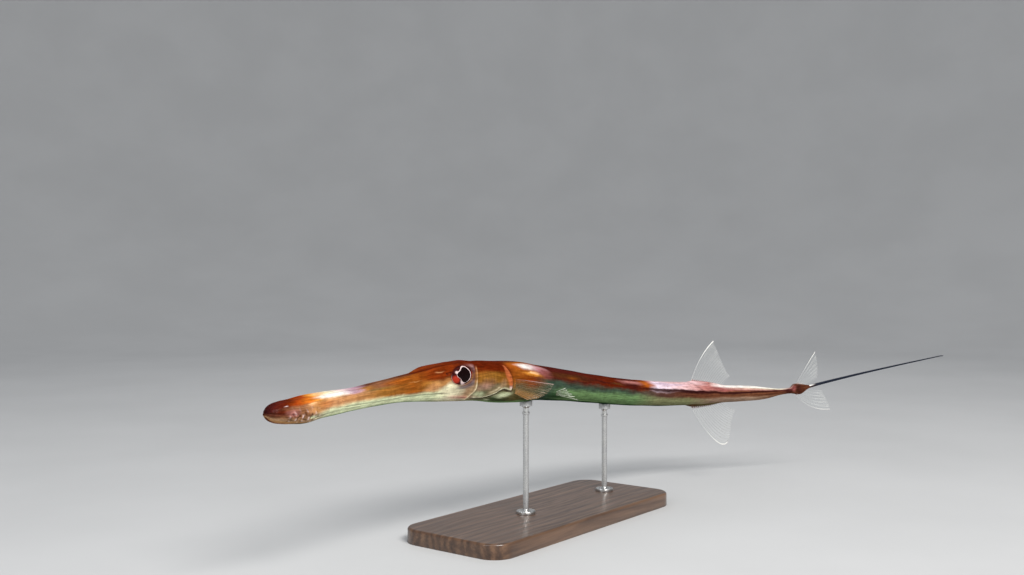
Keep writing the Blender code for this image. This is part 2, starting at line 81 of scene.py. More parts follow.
# The fish's own shape, the same as the solids': a station is a share of its standard length
fish = {
    "length": 0.800,                 # snout tip to the root of the tail fin, metres
    "balance": 0.470,                # station over the middle of the base
    "swing": math.radians(38.3),     # the tail swings to the fish's left
    "swingFrom": 0.605, "swingTo": 0.931,
    "axis": ((0.00, 0.1526), (0.05, 0.1528), (0.12, 0.1562), (0.20, 0.1592), (0.26, 0.1608),
             (0.31, 0.1596), (0.36, 0.1560), (0.42, 0.1510), (0.50, 0.1424), (0.58, 0.1328),
             (0.66, 0.1238), (0.74, 0.1168), (0.82, 0.1130), (0.89, 0.1112), (0.95, 0.1113),
             (1.00, 0.1153), (1.03, 0.1205), (1.09, 0.1301), (1.16, 0.1403), (1.25, 0.1527)),
    "outline": (                     # station, height above the axis, depth below, half width
        (0.000, 0.0022, 0.0026, 0.0024), (0.004, 0.0062, 0.0068, 0.0066),
        (0.010, 0.0090, 0.0097, 0.0100), (0.020, 0.0109, 0.0117, 0.0123),
        (0.033, 0.0120, 0.0131, 0.0136), (0.048, 0.0138, 0.0146, 0.0142),
        (0.068, 0.0137, 0.0126, 0.0133), (0.090, 0.0128, 0.0124, 0.0123),
        (0.120, 0.0112, 0.0125, 0.0118), (0.150, 0.0126, 0.0128, 0.0118),
        (0.190, 0.0145, 0.0146, 0.0128), (0.215, 0.0158, 0.0170, 0.0138),
        (0.250, 0.0183, 0.0218, 0.0151), (0.285, 0.0203, 0.0240, 0.0166),
        (0.313, 0.0228, 0.0248, 0.0186), (0.350, 0.0243, 0.0263, 0.0220),
        (0.378, 0.0250, 0.0271, 0.0241), (0.405, 0.0250, 0.0262, 0.0252),
        (0.435, 0.0231, 0.0231, 0.0252), (0.470, 0.0219, 0.0219, 0.0248),
        (0.560, 0.0198, 0.0198, 0.0232), (0.660, 0.0191, 0.0191, 0.0216),
        (0.750, 0.0182, 0.0182, 0.0198), (0.795, 0.0172, 0.0172, 0.0182),
        (0.830, 0.0152, 0.0155, 0.0160), (0.857, 0.0133, 0.0132, 0.0138),
        (0.890, 0.0124, 0.0124, 0.0118), (0.925, 0.0102, 0.0104, 0.0096),
        (0.943, 0.0078, 0.0080, 0.0084), (0.960, 0.0051, 0.0051, 0.0072),
        (0.974, 0.0045, 0.0045, 0.0064), (0.9805, 0.0050, 0.0050, 0.0060),
        (0.9845, 0.0088, 0.0061, 0.0056), (0.990, 0.0091, 0.0072, 0.0050),
        (0.996, 0.0083, 0.0078, 0.0044), (1.001, 0.0070, 0.0063, 0.0037),
        (1.006, 0.0047, 0.0040, 0.0030), (1.012, 0.0024, 0.0024, 0.0024)),
    "squareness": (                  # station, exponent of the upper half, of the lower half
        (0.00, 2.1, 2.1), (0.05, 2.6, 2.3), (0.20, 2.8, 2.3), (0.29, 2.7, 2.2),
        (0.36, 2.4, 2.3), (0.50, 2.5, 2.5), (0.78, 2.3, 2.3), (0.96, 2.0, 2.0),
        (1.012, 2.0, 2.0)),
    "ridges": (                      # height, angle up the side, width, then the stations of its fade
        (0.0047, 58, 15, 0.208, 0.240, 0.300, 0.335),       # brow over the eye
        (-0.0010, 90, 16, 0.208, 0.240, 0.300, 0.335),      # hollow between the brows
        (0.0007, 46, 9, 0.045, 0.080, 0.290, 0.330),        # upper edge of the snout
        (-0.0006, -38, 8, 0.045, 0.080, 0.290, 0.330),      # hollow along its lower side
        (0.0030, 90, 14, 0.792, 0.806, 0.835, 0.872),       # seat of the dorsal fin
        (0.0030, -90, 14, 0.792, 0.806, 0.835, 0.872),      # seat of the anal fin
        (0.0007, 0, 12, 0.862, 0.890, 0.940, 0.966)),       # keel on the side of the tail stalk
    "mouthLine": ((0.0, 0.0004), (0.02, -0.0014), (0.045, -0.0052)),
    "lipHeight": 0.0005,
}
bodyLength = fish["length"]
whipStart = fish["outline"][-1][0]
axisHeight = smoothCurve(fish["axis"])
heightAbove, depthBelow, halfWidth = (
    smoothCurve([(row[0], row[k]) for row in fish["outline"]]) for k in (1, 2, 3))
squareUp, squareDown = (
    smoothCurve([(row[0], row[k]) for row in fish["squareness"]]) for k in (1, 2))
mouthHeight = smoothCurve(fish["mouthLine"])

# the axis in plan is the running sum of its heading
planStations = np.linspace(0.0, 1.3, 1301)
planHeadings = -fish["swing"] * ease(planStations, fish["swingFrom"], fish["swingTo"])


def runningSum(values):
    step = (planStations[1] - planStations[0]) * bodyLength
    return np.concatenate([[0.0], np.cumsum((values[1:] + values[:-1]) / 2) * step])


planX = runningSum(np.cos(planHeadings)) - fish["balance"] * bodyLength
planY = runningSum(np.sin(planHeadings))


def frameAt(s):
    # axis point, direction to the tail, fish's left, and up = left x tailward, at stations s
    s = np.asarray(s, dtype=float)
    point = np.stack([np.interp(s, planStations, planX), np.interp(s, planStations, planY),
                      axisHeight(s)], axis=-1)
    heading = np.interp(s, planStations, planHeadings)
    slope = (axisHeight(s + 0.004) - axisHeight(s - 0.004)) / (0.008 * bodyLength)
    tailward = unit(np.stack([np.cos(heading), np.sin(heading), slope], axis=-1))
    left = np.stack([np.sin(heading), -np.cos(heading), np.zeros_like(heading)], axis=-1)
    return point, tailward, left, np.cross(left, tailward)


def upTheSide(angle):
    # degrees up the side, 90 on the back, 0 at the side, -90 on the belly, alike left and right
    return 90 - np.abs(np.remainder(angle + 90, 360) - 180)


def relief(s, angle):
    side = upTheSide(angle)
    total = fish["lipHeight"] * (1 - ease(s, 0.036, 0.050)) * bump(side, -8 - 260 * s, 10)
    for height, centre, width, begins, full, fades, gone in fish["ridges"]:
        total = total + height * between(s, begins, full, fades, gone) * bump(side, centre, width)
    arc = bump(s, 0.3035 - 0.013 * ease(-side, 10, 66), 0.0045)
    return total + 0.0010 * arc * ease(side, -72, -55) * (1 - ease(side, 30, 46))


def bodyPoint(s, angle, offset=0.0):
    # section point = axis + left * halfWidth * cos(angle)^(2/p) + up * height * sin(angle)^(2/p),
    # pushed out from the axis by the relief; angle is 0 at the fish's left, 90 on its back
    s, angle = np.broadcast_arrays(np.asarray(s, dtype=float), np.asarray(angle, dtype=float))
    point, _, left, up = frameAt(s)
    c, d = np.cos(np.radians(angle)), np.sin(np.radians(angle))
    power = np.where(d >= 0, squareUp(s), squareDown(s))
    rise = np.where(d >= 0, heightAbove(s), depthBelow(s))
    across = halfWidth(s) * np.sign(c) * np.abs(c) ** (2 / power) * bodyLength
    upward = rise * np.sign(d) * np.abs(d) ** (2 / power) * bodyLength
    scale = 1 + (relief(s, angle) * bodyLength + offset) / np.hypot(across, upward)
    return point + (across * scale)[..., None] * left + (upward * scale)[..., None] * up


# Meshes from arrays

def makeSurface(name, points, faces, smooth=True):
    # faces is a list of index arrays with one row a face; they are turned about if the volume is negative
    points = np.asarray(points, dtype=float).reshape(-1, 3)
    volume = 0.0
    for part in faces:
        corners = points[part]
        for k in range(1, part.shape[1] - 1):
            volume += np.einsum("ij,ij->", corners[:, 0], np.cross(corners[:, k], corners[:, k + 1]))
    if volume < 0:
        faces = [part[:, ::-1] for part in faces]
    loops = np.concatenate([part.ravel() for part in faces]).astype(np.int32)
    counts = np.concatenate([np.full(len(part), part.shape[1]) for part in faces])
    mesh = bpy.data.meshes.new(name)
    mesh.vertices.add(len(points))
    mesh.vertices.foreach_set("co", points.ravel())
    mesh.loops.add(len(loops))
    mesh.loops.foreach_set("vertex_index", loops)
    mesh.polygons.add(len(counts))
    mesh.polygons.foreach_set("loop_start", (np.cumsum(counts) - counts).astype(np.int32))
    mesh.update(calc_edges=True)
    mesh.validate()
    if smooth:
        mesh.shade_smooth()
    made = bpy.data.objects.new(name, mesh)
    bpy.context.scene.collection.objects.link(made)
    return made


def tubeFaces(rings, around):
    # quads between neighbouring rings, then a fan of triangles to one more point at each end
    i, j = np.meshgrid(np.arange(rings - 1), np.arange(around), indexing="ij")
    k = (j + 1) % around
    quads = np.stack([i * around + j, i * around + k, (i + 1) * around + k, (i + 1) * around + j], axis=-1)
    j = np.arange(around)
    k = (j + 1) % around
    last = (rings - 1) * around
    first = np.stack([np.full(around, rings * around), k, j], axis=-1)
    final = np.stack([np.full(around, rings * around + 1), last + j, last + k], axis=-1)
    return [quads.reshape(-1, 4), np.concatenate([first, final])]


def makeTube(name, rings, start, end):
    points = np.concatenate([rings.reshape(-1, 3), [start, end]])
    return makeSurface(name, points, tubeFaces(*rings.shape[:2]))


def makeSlab(name, front, back):
    # two like grids, quads on both, and a rim of quads round their edge
    columns, rows = front.shape[:2]
    total = columns * rows
    i, j = np.meshgrid(np.arange(columns - 1), np.arange(rows - 1), indexing="ij")
    a, b = i * rows + j, (i + 1) * rows + j
    upper = np.stack([a, b, b + 1, a + 1], axis=-1).reshape(-1, 4)
    lower = upper[:, ::-1] + total
    rim = np.concatenate([np.arange(columns) * rows, (columns - 1) * rows + np.arange(1, rows),
                          np.arange(columns - 2, -1, -1) * rows + rows - 1, np.arange(rows - 2, 0, -1)])
    after = np.roll(rim, -1)
    edge = np.stack([after, rim, rim + total, after + total], axis=-1)
    points = np.concatenate([front.reshape(-1, 3), back.reshape(-1, 3)])
    return makeSurface(name, points, [upper, lower, edge])


def setValues(made, name, values):
    values = np.asarray(values, dtype=float)
    vector = values.ndim == 2
    made.data.attributes.new(name, "FLOAT_VECTOR" if vector else "FLOAT", "POINT")
    made.data.attributes[name].data.foreach_set("vector" if vector else "value", values.ravel())


# Nodes: a value that is a socket is linked, any other is set

def addNode(tree, kind, inputs=None, **settings):
    node = tree.nodes.new(kind)
    for name, value in settings.items():
        setattr(node, name, value)
    for key, value in (inputs or {}).items():
        if isinstance(value, bpy.types.NodeSocket):
            tree.links.new(value, node.inputs[key])
        else:
            node.inputs[key].default_value = value
    return node


def calc(tree, operation, first, second=0.0, third=0.0):
    return addNode(tree, "ShaderNodeMath", {0: first, 1: second, 2: third}, operation=operation).outputs[0]


def fromTo(tree, value, low, high, toLow=0.0, toHigh=1.0):
    return addNode(tree, "ShaderNodeMapRange", {0: value, 1: low, 2: high, 3: toLow, 4: toHigh},
                   interpolation_type="SMOOTHSTEP").outputs[0]


def times(tree, first, second):
    return calc(tree, "MULTIPLY", first, second)


def vectorCalc(tree, operation, first, second):
    return addNode(tree, "ShaderNodeVectorMath", {0: first, 1: second}, operation=operation).outputs[0]


def scaled(tree, vector, x, y, z):
    return vectorCalc(tree, "MULTIPLY", vector, (x, y, z))


def partsOf(tree, vector):
    return addNode(tree, "ShaderNodeSeparateXYZ", {0: vector}).outputs


def noiseOf(tree, place, **settings):
    return addNode(tree, "ShaderNodeTexNoise", {"Vector": place, "Scale": 1.0, **settings}).outputs


def opaque(colour):
    return (*colour, 1.0) if isinstance(colour, tuple) and len(colour) == 3 else colour


def mixed(tree, factor, under, over, mode="MIX"):
    return addNode(tree, "ShaderNodeMix", {0: factor, 6: opaque(under), 7: opaque(over)},
                   data_type="RGBA", blend_type=mode).outputs[2]


def rampOf(tree, value, stops, interpolation="LINEAR"):
    node = addNode(tree, "ShaderNodeValToRGB", {"Fac": value})
    band = node.color_ramp
    band.interpolation = interpolation
    while len(band.elements) < len(stops):
        band.elements.new(0.5)
    for element, (position, colour) in zip(band.elements, stops):
        element.position = position
        element.color = (*colour, 1.0)
    return node.outputs["Color"]


def attribute(tree, name, output="Vector"):
    return addNode(tree, "ShaderNodeAttribute", attribute_name=name).outputs[output]


def makeGroup(name, inputs, outputs):
    group = bpy.data.node_groups.new(name, "ShaderNodeTree")
    for label, kind, value in inputs:
        socket = group.interface.new_socket(label, in_out="INPUT", socket_type="NodeSocket" + kind)
        socket.default_value = value
    for label, kind in outputs:
        group.interface.new_socket(label, in_out="OUTPUT", socket_type="NodeSocket" + kind)
    return group, group.nodes.new("NodeGroupInput").outputs, group.nodes.new("NodeGroupOutput").inputs


def useGroup(tree, group, inputs):
    return addNode(tree, "ShaderNodeGroup", inputs, node_tree=group).outputs


def makeMaterial(name, **constants):
    made = bpy.data.materials.new(name)
    made.use_nodes = True
    shader = made.node_tree.nodes["Principled BSDF"]
    for socket, value in constants.items():
        shader.inputs[socket].default_value = value
    return made, made.node_tree, shader


def feed(shader, values):
    for name, value in values.items():
        shader.id_data.links.new(value, shader.inputs[name])


def emboss(shader, height, strength, distance):
    tree = shader.id_data
    bumped = addNode(tree, "ShaderNodeBump", {"Strength": strength, "Distance": distance, "Height": height})
    feed(shader, {"Normal": bumped.outputs["Normal"]})


def dress(made, material, slotName, *replaced):
    made.data.materials.append(material)
    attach(made, "root")
    if replaced:
        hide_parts(*replaced)


# Pigments, as linear colours
pigments = {
    "black": (0.006, 0.002, 0.002), "darkMaroon": (0.028, 0.006, 0.006), "maroon": (0.070, 0.010, 0.007),
    "mahogany": (0.105, 0.012, 0.002), "rust": (0.190, 0.030, 0.004), "flame": (0.330, 0.046, 0.005),
    "copper": (0.250, 0.068, 0.008), "tawny": (0.320, 0.135, 0.026), "orange": (0.430, 0.108, 0.012),
    "ember": (0.580, 0.150, 0.015), "gold": (0.640, 0.260, 0.040), "sand": (0.840, 0.500, 0.240),
    "salmon": (0.520, 0.250, 0.110), "peach": (0.460, 0.230, 0.080), "fawn": (0.300, 0.130, 0.060),
    "stone": (0.360, 0.310, 0.200), "lilacWhite": (0.800, 0.680, 0.800), "umber": (0.100, 0.032, 0.016),
    "brown": (0.210, 0.085, 0.040), "tan": (0.330, 0.200, 0.110), "cream": (0.780, 0.730, 0.500),
    "white": (0.860, 0.840, 0.800), "pinkWhite": (0.760, 0.600, 0.580), "pink": (0.420, 0.170, 0.150),
    "rose": (0.250, 0.070, 0.065), "lavender": (0.480, 0.300, 0.380), "mauve": (0.098, 0.044, 0.034),
    "moss": (0.205, 0.215, 0.105), "clay": (0.300, 0.200, 0.140), "shell": (0.500, 0.290, 0.240),
    "bark": (0.078, 0.026, 0.007), "goldOlive": (0.180, 0.080, 0.008), "paleGreen": (0.620, 0.680, 0.430),
    "greyGreen": (0.130, 0.135, 0.070), "slateGreen": (0.042, 0.070, 0.048), "olive": (0.110, 0.085, 0.030),
    "green": (0.145, 0.255, 0.102), "darkGreen": (0.006, 0.036, 0.010), "blood": (0.360, 0.030, 0.014),
    "coral": (0.440, 0.118, 0.040), "orchid": (0.480, 0.190, 0.230), "violetWhite": (0.560, 0.430, 0.530),
    "shellPink": (0.700, 0.460, 0.470), "slate": (0.130, 0.100, 0.105), "dusk": (0.330, 0.190, 0.180),
    "navy": (0.004, 0.007, 0.018), "ink": (0.016, 0.020, 0.032),
}


# Shared effects

def makeSoftPatch():
    # an oval on the body: 1 inside, easing to 0 at its edge; Lean slants it
    group, given, out = makeGroup(
        "softPatch",
        [("Place", "Vector", (0, 0, 0)), ("Station", "Float", 0.5), ("Side", "Float", 0.0),
         ("Length", "Float", 0.1), ("Height", "Float", 0.2), ("Lean", "Float", 0.0), ("Soft", "Float", 0.5)],
        [("Mask", "Float")])
    place = partsOf(group, given["Place"])
    up = calc(group, "SUBTRACT", place["Y"], given["Side"])
    along = calc(group, "SUBTRACT", calc(group, "SUBTRACT", place["X"], given["Station"]),
                 times(group, up, given["Lean"]))
    x, y = calc(group, "DIVIDE", along, given["Length"]), calc(group, "DIVIDE", up, given["Height"])
    far = calc(group, "SQRT", calc(group, "ADD", times(group, x, x), times(group, y, y)))
    mask = fromTo(group, far, calc(group, "SUBTRACT", 1.0, given["Soft"]),
                  calc(group, "ADD", 1.0, given["Soft"]), 1.0, 0.0)
    group.links.new(mask, out["Mask"])
    return group


def makeMottle():
    # cloudy patches from noise: Mask rises from 0 at Low to 1 at High
    group, given, out = makeGroup(
        "mottle",
        [("Place", "Vector", (0, 0, 0)), ("Scale", "Float", 100.0), ("Detail", "Float", 3.0),
         ("Low", "Float", 0.4), ("High", "Float", 0.6)],
        [("Mask", "Float")])
    noise = addNode(group, "ShaderNodeTexNoise",
                    {"Vector": given["Place"], "Scale": given["Scale"], "Detail": given["Detail"]})
    group.links.new(fromTo(group, noise.outputs["Fac"], given["Low"], given["High"]), out["Mask"])
    return group


def makeGrain():
    # fine height for a bump: leathery cells plus noise; Cell and Noise are their shares
    group, given, out = makeGroup(
        "fineGrain",
        [("Place", "Vector", (0, 0, 0)), ("Scale", "Float", 800.0), ("Cell", "Float", 0.5),
         ("Noise", "Float", 0.5)],
        [("Height", "Float")])
    cells = addNode(group, "ShaderNodeTexVoronoi", {"Vector": given["Place"], "Scale": given["Scale"]})
    noise = addNode(group, "ShaderNodeTexNoise",
                    {"Vector": given["Place"], "Scale": given["Scale"], "Detail": 4.0})
    height = calc(group, "ADD", times(group, cells.outputs["Distance"], given["Cell"]),
                  times(group, noise.outputs["Fac"], given["Noise"]))
    group.links.new(height, out["Height"])
    return group


softPatch, mottle, fineGrain = makeSoftPatch(), makeMottle(), makeGrain()


def mottled(tree, place, scale, detail, low, high):
    return useGroup(tree, mottle, {"Place": place, "Scale": scale, "Detail": detail, "Low": low,
                                   "High": high})["Mask"]


def painted(tree, colour, mask, strength, word):
    return mixed(tree, times(tree, mask, strength), colour, pigments[word])


def patched(tree, colour, place, patches):
    # lays soft ovals of pigment over a colour
    for station, side, long, tall, soft, word, strength, *lean in patches.values():
        mask = useGroup(tree, softPatch, {"Place": place, "Station": station, "Side": side, "Length": long,
                                          "Height": tall, "Lean": sum(lean), "Soft": soft})["Mask"]
        colour = painted(tree, colour, mask, strength, word)
    return colour


print("shared node groups made")


# Skin

skin = {
    "around": 180,
    "runs": ((0.00128, 0.006, 10), (0.006, 0.100, 108), (0.100, 0.200, 62), (0.200, 0.400, 196),
             (0.400, 0.970, 124), (0.970, 1.0122, 42)),       # from station, to station, rings
    "formsFrom": (0.0008, 0.004),                               # the forms ease in over these stations
    "borders": {                                               # degrees up the side along the body
        "top": ((0, 70), (0.06, 60), (0.12, 68), (0.20, 78), (0.45, 74), (0.66, 74), (0.72, 70),
                (0.80, 60), (0.855, 48), (0.96, 46), (1.02, 60)),
        "upper": ((0, 28), (0.05, 24), (0.10, 30), (0.15, 30), (0.21, 20), (0.25, 10), (0.30, 24),
                  (0.34, 24), (0.37, 12), (0.41, 13), (0.44, 11), (0.50, 7), (0.60, 8), (0.66, 6),
                  (0.70, 12), (0.82, 16), (0.90, 24), (1.02, 10)),
        "lower": ((0, -14), (0.03, -16), (0.06, -12), (0.11, -8), (0.17, -14), (0.20, -19),
                  (0.222, -20), (0.243, -12), (0.262, -2), (0.30, -6), (0.33, -4), (0.37, -8),
                  (0.45, -11), (0.69, -8), (0.80, -17), (1.02, -24)),
        "belly": ((0, -60), (0.07, -58), (0.20, -62), (0.28, -68), (0.34, -66), (0.40, -56),
                  (0.50, -62), (0.70, -64), (0.85, -66), (1.02, -70)),
    },
    "bakeStrips": (0.12, 0.24, 0.37, 0.68),                     # the unwrap is cut at these stations
}

# Its forms. Heights, depths and widths across a groove are in metres; a pair for a bump is its centre
# and width; two or four stations, sides or distances are where something eases in and out
forms = {
    "mouth": {"shut": (0.023, 0.031), "depth": 0.0007, "width": 0.00042, "lip": 0.00030,
              "lips": ((0.0013, 0.0008), (-0.0014, 0.0009)), "shade": 0.30, "shadeWidth": 0.0005},
    "folds": {"stations": (0.017, 0.024, 0.046, 0.068), "side": (-25, 25), "height": 0.00075,
              "lengths": (0.0066, 0.0120, 0.0031), "shares": (0.55, 0.40),
              "hollows": (0.20, 0.85), "tops": (0.35, 0.95)},
    "plate": {"edge": 0.0270, "bow": 0.0045, "bowSide": (-20, 26), "side": (-18, 20), "from": (0.012, 0.022),
              "height": 0.0005, "step": (-0.0006, 0.0009), "depth": 0.0004, "groove": (0.0012, 0.0008),
              "shade": 0.8, "shadeAt": (0.0010, 0.0007)},
    "snout": {"stations": (0.075, 0.105, 0.235, 0.275), "lines": 0.00014, "lineSide": (5, 42),
              "parting": (-14, -30), "sinks": (0.07, 0.15), "depth": 0.00040, "width": 3.2,
              "shade": 0.55, "shadeWidth": 2.6},
    "nostrils": {"holes": ((0.2545, 27, 0.0013), (0.2590, 30, 0.0016)),      # station, side, radius
                 "rim": 0.0004, "rimWidth": 0.0006, "depth": 0.0015},
    "socket": {"station": 0.2800, "rise": 0.0060, "size": (0.0163, 0.0096), "fill": 0.0032,
               "fillFades": (1.05, 1.55), "brow": (38, 58), "rim": 0.0005, "rimRing": (1.12, 0.09),
               "depth": 0.0034, "wall": (0.80, 0.99), "line": (1.0, 0.07), "hollow": 0.0004,
               "behind": (0.9, 1.02, 1.20, 1.50), "behindEnds": (0.2980, 0.3020), "behindTop": (40, 54)},
    "cheek": {"station": 0.3035, "sweep": 0.013, "sweepSide": (10, 66), "low": (-70, -58), "high": (32, 46),
              "ridge": 0.0003, "ridgeAt": (0, 0.0016), "depth": 0.0005, "groove": (0.0034, 0.0012),
              "line": (0.0002, 0.0010), "foot": (-6, 12)},
    "gill": {
        "cover": ((-70, 0.2980, 0.3660), (-52, 0.3030, 0.3660), (-34, 0.3063, 0.3660),   # side, front, rear
                  (-20, 0.3083, 0.3660), (-11, 0.3090, 0.3668), (-5, 0.3090, 0.3672),
                  (16, 0.3080, 0.3640), (34, 0.3055, 0.3595), (52, 0.3040, 0.3550)),
        "foot": ((0.296, -55), (0.303, -53), (0.311, -52), (0.322, -49), (0.333, -39), (0.340, -31),
                 (0.344, -24.5), (0.350, -17.5), (0.354, -16.5), (0.360, -18.5), (0.370, -21), (0.400, -21)),
        "from": (0.296, 0.304), "low": (-70, -64), "high": (44, 52), "height": 0.0008,
        "coverEdge": (-0.0006, 0.0007), "depth": 0.0012, "slit": (0.0011, 0.0007),
        "flap": (0.0022, 0.0060), "flapSide": (12, 22), "flapEdge": (-0.0004, 0.0008), "flapLow": (-22, -14),
        "flapDepth": 0.00035, "flapGroove": 0.0008, "stria": 0.00012, "striaLength": 0.0042,
        "striaSide": (2, 28), "shadeAt": (0.0013, 0.0009),
        "rims": ((1.0, (-0.0007, 0.0009), (11, 16), (0.298, 0.306)),      # share, across, below, along
                 (0.5, (-0.0040, 0.0009), (9, 14), (0.322, 0.336))),
        "pale": (-0.0090, -0.0040, -0.0026, -0.0012), "paleAlong": (0.318, 0.334, 0.352, 0.360)},
    "throat": {"station": (0.349, 0.016), "side": (-46, 17), "height": 0.0008, "middle": 0.0006,
               "middleAlong": (0.215, 0.24, 0.33, 0.35), "beside": 0.0004, "besideSide": -63,
               "besideAlong": (0.24, 0.26, 0.31, 0.33), "shade": 0.6},
    "line": {"course": ((0.366, 26), (0.385, 19), (0.41, 11), (0.45, 5), (0.60, 2), (0.80, 0), (1.0, 0)),
             "stations": (0.368, 0.385, 0.955, 0.972), "spacing": 0.0052, "keel": (0.80, 0.90),
             "width": (0.0008, 0.0004), "heights": (0.00013, 0.00022, 0.00025)},
    "tail": {"shoulder": 0.0005, "shoulderAt": (0.3735, 0.004), "shoulderSide": (-40, -20, 34, 52),
             "fold": 0.795, "foldSweep": 0.021, "foldSide": (14, 24, 82, 90), "foldTop": 0.0005,
             "foldTopAt": (-0.0028, 0.0022), "foldDepth": 0.0006, "foldAt": 0.0004,
             "roots": (0.978, 0.990, 1.002, 1.010), "rootHeight": 0.00022},
    "swells": {"long": 0.00016, "short": 0.00009, "crown": 0.0005, "crownSide": (90, 9), "temple": 0.00012,
               "templeSide": (48, 58, 78, 86), "crownAlong": (0.205, 0.240, 0.310, 0.350)},
}
gillAngles, gillFronts, gillRears = np.array(forms["gill"]["cover"], dtype=float).T
gillFront = smoothCurve(list(zip(gillAngles, gillFronts)))
gillRear = smoothCurve(list(zip(gillAngles, gillRears)))
coverFoot = smoothCurve(forms["gill"]["foot"])
lateralLine = smoothCurve(forms["line"]["course"])


# Each form gives metres to push the skin out along its normal, and the masks that its colours read:
# a groove is -depth * exp(-(distance / width)^2), a step is an ease across its edge

def mouthForm(at, form):
    gap = at.rise - mouthHeight(at.s) * bodyLength
    shut = 1 - ease(at.s, *form["shut"])
    lips = sum(bump(gap, *lip) for lip in form["lips"])
    push = form["lip"] * lips - form["depth"] * bump(gap, 0, form["width"])
    return push * shut, {"creaseShade": form["shade"] * bump(gap, 0, form["shadeWidth"]) * shut}


def foldForm(at, form):
    # behind the corner of the mouth: waves round the snout, crossed and broken by finer ones
    coarse, slanted, fine = form["lengths"]
    folded = between(at.s, *form["stations"]) * bump(at.side, *form["side"])
    wave = np.sin(2 * np.pi * (at.along / coarse + at.side / 95) + 1.2 * np.sin(at.side / 7.0))
    cross = np.sin(at.side / 5.2 - 2 * np.pi * at.along / slanted + 1.3)
    wrinkle = np.sin(2 * np.pi * at.along / fine + at.side / 8.5 + 2.0 + np.sin(at.side / 13.0))
    lump = form["shares"][0] * wave * (1 + cross) + form["shares"][1] * wrinkle
    # the fold hollows get painted shade, and their tops a painted highlight
    return form["height"] * folded * lump, {"creaseShade": folded * ease(-lump, *form["hollows"]),
                                            "foldTop": folded * ease(lump, *form["tops"])}


def plateForm(at, form):
    # the hard tip of the snout ends in a bowed step and a groove
    bow = 1 - ((at.side - form["bowSide"][0]) / form["bowSide"][1]) ** 2
    past = (at.s - form["edge"] - form["bow"] * bow) * bodyLength
    shown = bump(at.side, *form["side"]) * ease(at.s, *form["from"])
    push = form["height"] * (1 - ease(past, *form["step"])) - form["depth"] * bump(past, *form["groove"])
    return shown * push, {"creaseShade": form["shade"] * shown * bump(past, *form["shadeAt"])}


def snoutForm(at, form):
    # long bony lines, and the line that parts the snout from its pale lower edge
    high, low = form["parting"]
    bony = between(at.s, *form["stations"])
    parting = at.side - high - (low - high) * ease(at.s, *form["sinks"])
    lines = np.sin(at.side / 3.4 + 1.5 * np.sin(at.s * 31)) * bump(at.side, *form["lineSide"])
    push = form["lines"] * lines - form["depth"] * bump(parting, 0, form["width"])
    return bony * push, {"creaseShade": form["shade"] * bony * bump(parting, 0, form["shadeWidth"])}


def nostrilForm(at, form):
    push, creaseShade = 0.0, 0.0
    for station, side, radius in form["holes"]:
        far = np.hypot((at.s - station) * bodyLength, np.radians(at.side - side) * at.girth)
        rim = form["rim"] * bump(far, radius * 1.5, form["rimWidth"])
        push += rim - form["depth"] * bump(far, 0, radius * 0.8)
        creaseShade = np.maximum(creaseShade, bump(far, 0, radius * 0.75))
    return push, {"creaseShade": creaseShade}


def socketForm(at, form):
    # the skin rises to meet the eye, has a rim, and dips under it; ring is 1 at the eye's edge
    dx, dz = (at.s - form["station"]) * bodyLength, at.rise - form["rise"]
    ring = np.hypot(dx / form["size"][0], dz / form["size"][1]) + 10 * (np.abs(at.side) > 75)
    flush = np.interp(form["station"], at.s[:, 0], np.max(at.reach, axis=1))
    fill = (1 - ease(ring, *form["fillFades"])) * (1 - ease(at.side, *form["brow"]))
    push = np.clip(flush - at.reach, 0, form["fill"]) * fill
    push += form["rim"] * bump(ring, *form["rimRing"]) - form["depth"] * (1 - ease(ring, *form["wall"]))
    behind = between(ring, *form["behind"]) * (1 - ease(at.s, *form["behindEnds"]))
    behind = behind * (1 - ease(at.side, *form["behindTop"]))
    crescent = behind * ease(dx * 60 - dz * 75, 0.1, 0.75)
    blush = behind * ease(dx * 60 + dz * 30, 0.0, 0.6) * (1 - 0.8 * crescent)
    return push - form["hollow"] * crescent, {"socket": bump(ring, *form["line"]), "crescent": crescent,
                                              "blush": blush}


def cheekForm(at, form):
    # a ridge down the cheek with a groove behind it
    arc = (at.s - form["station"] + form["sweep"] * ease(-at.side, *form["sweepSide"])) * bodyLength
    shown = ease(at.side, *form["low"]) * (1 - ease(at.side, *form["high"]))
    push = form["ridge"] * bump(arc, *form["ridgeAt"]) - form["depth"] * bump(arc, *form["groove"])
    line = bump(arc, *form["line"]) * shown
    return shown * push, {"cheek": line, "cheekFoot": line * ease(-at.side, *form["foot"])}


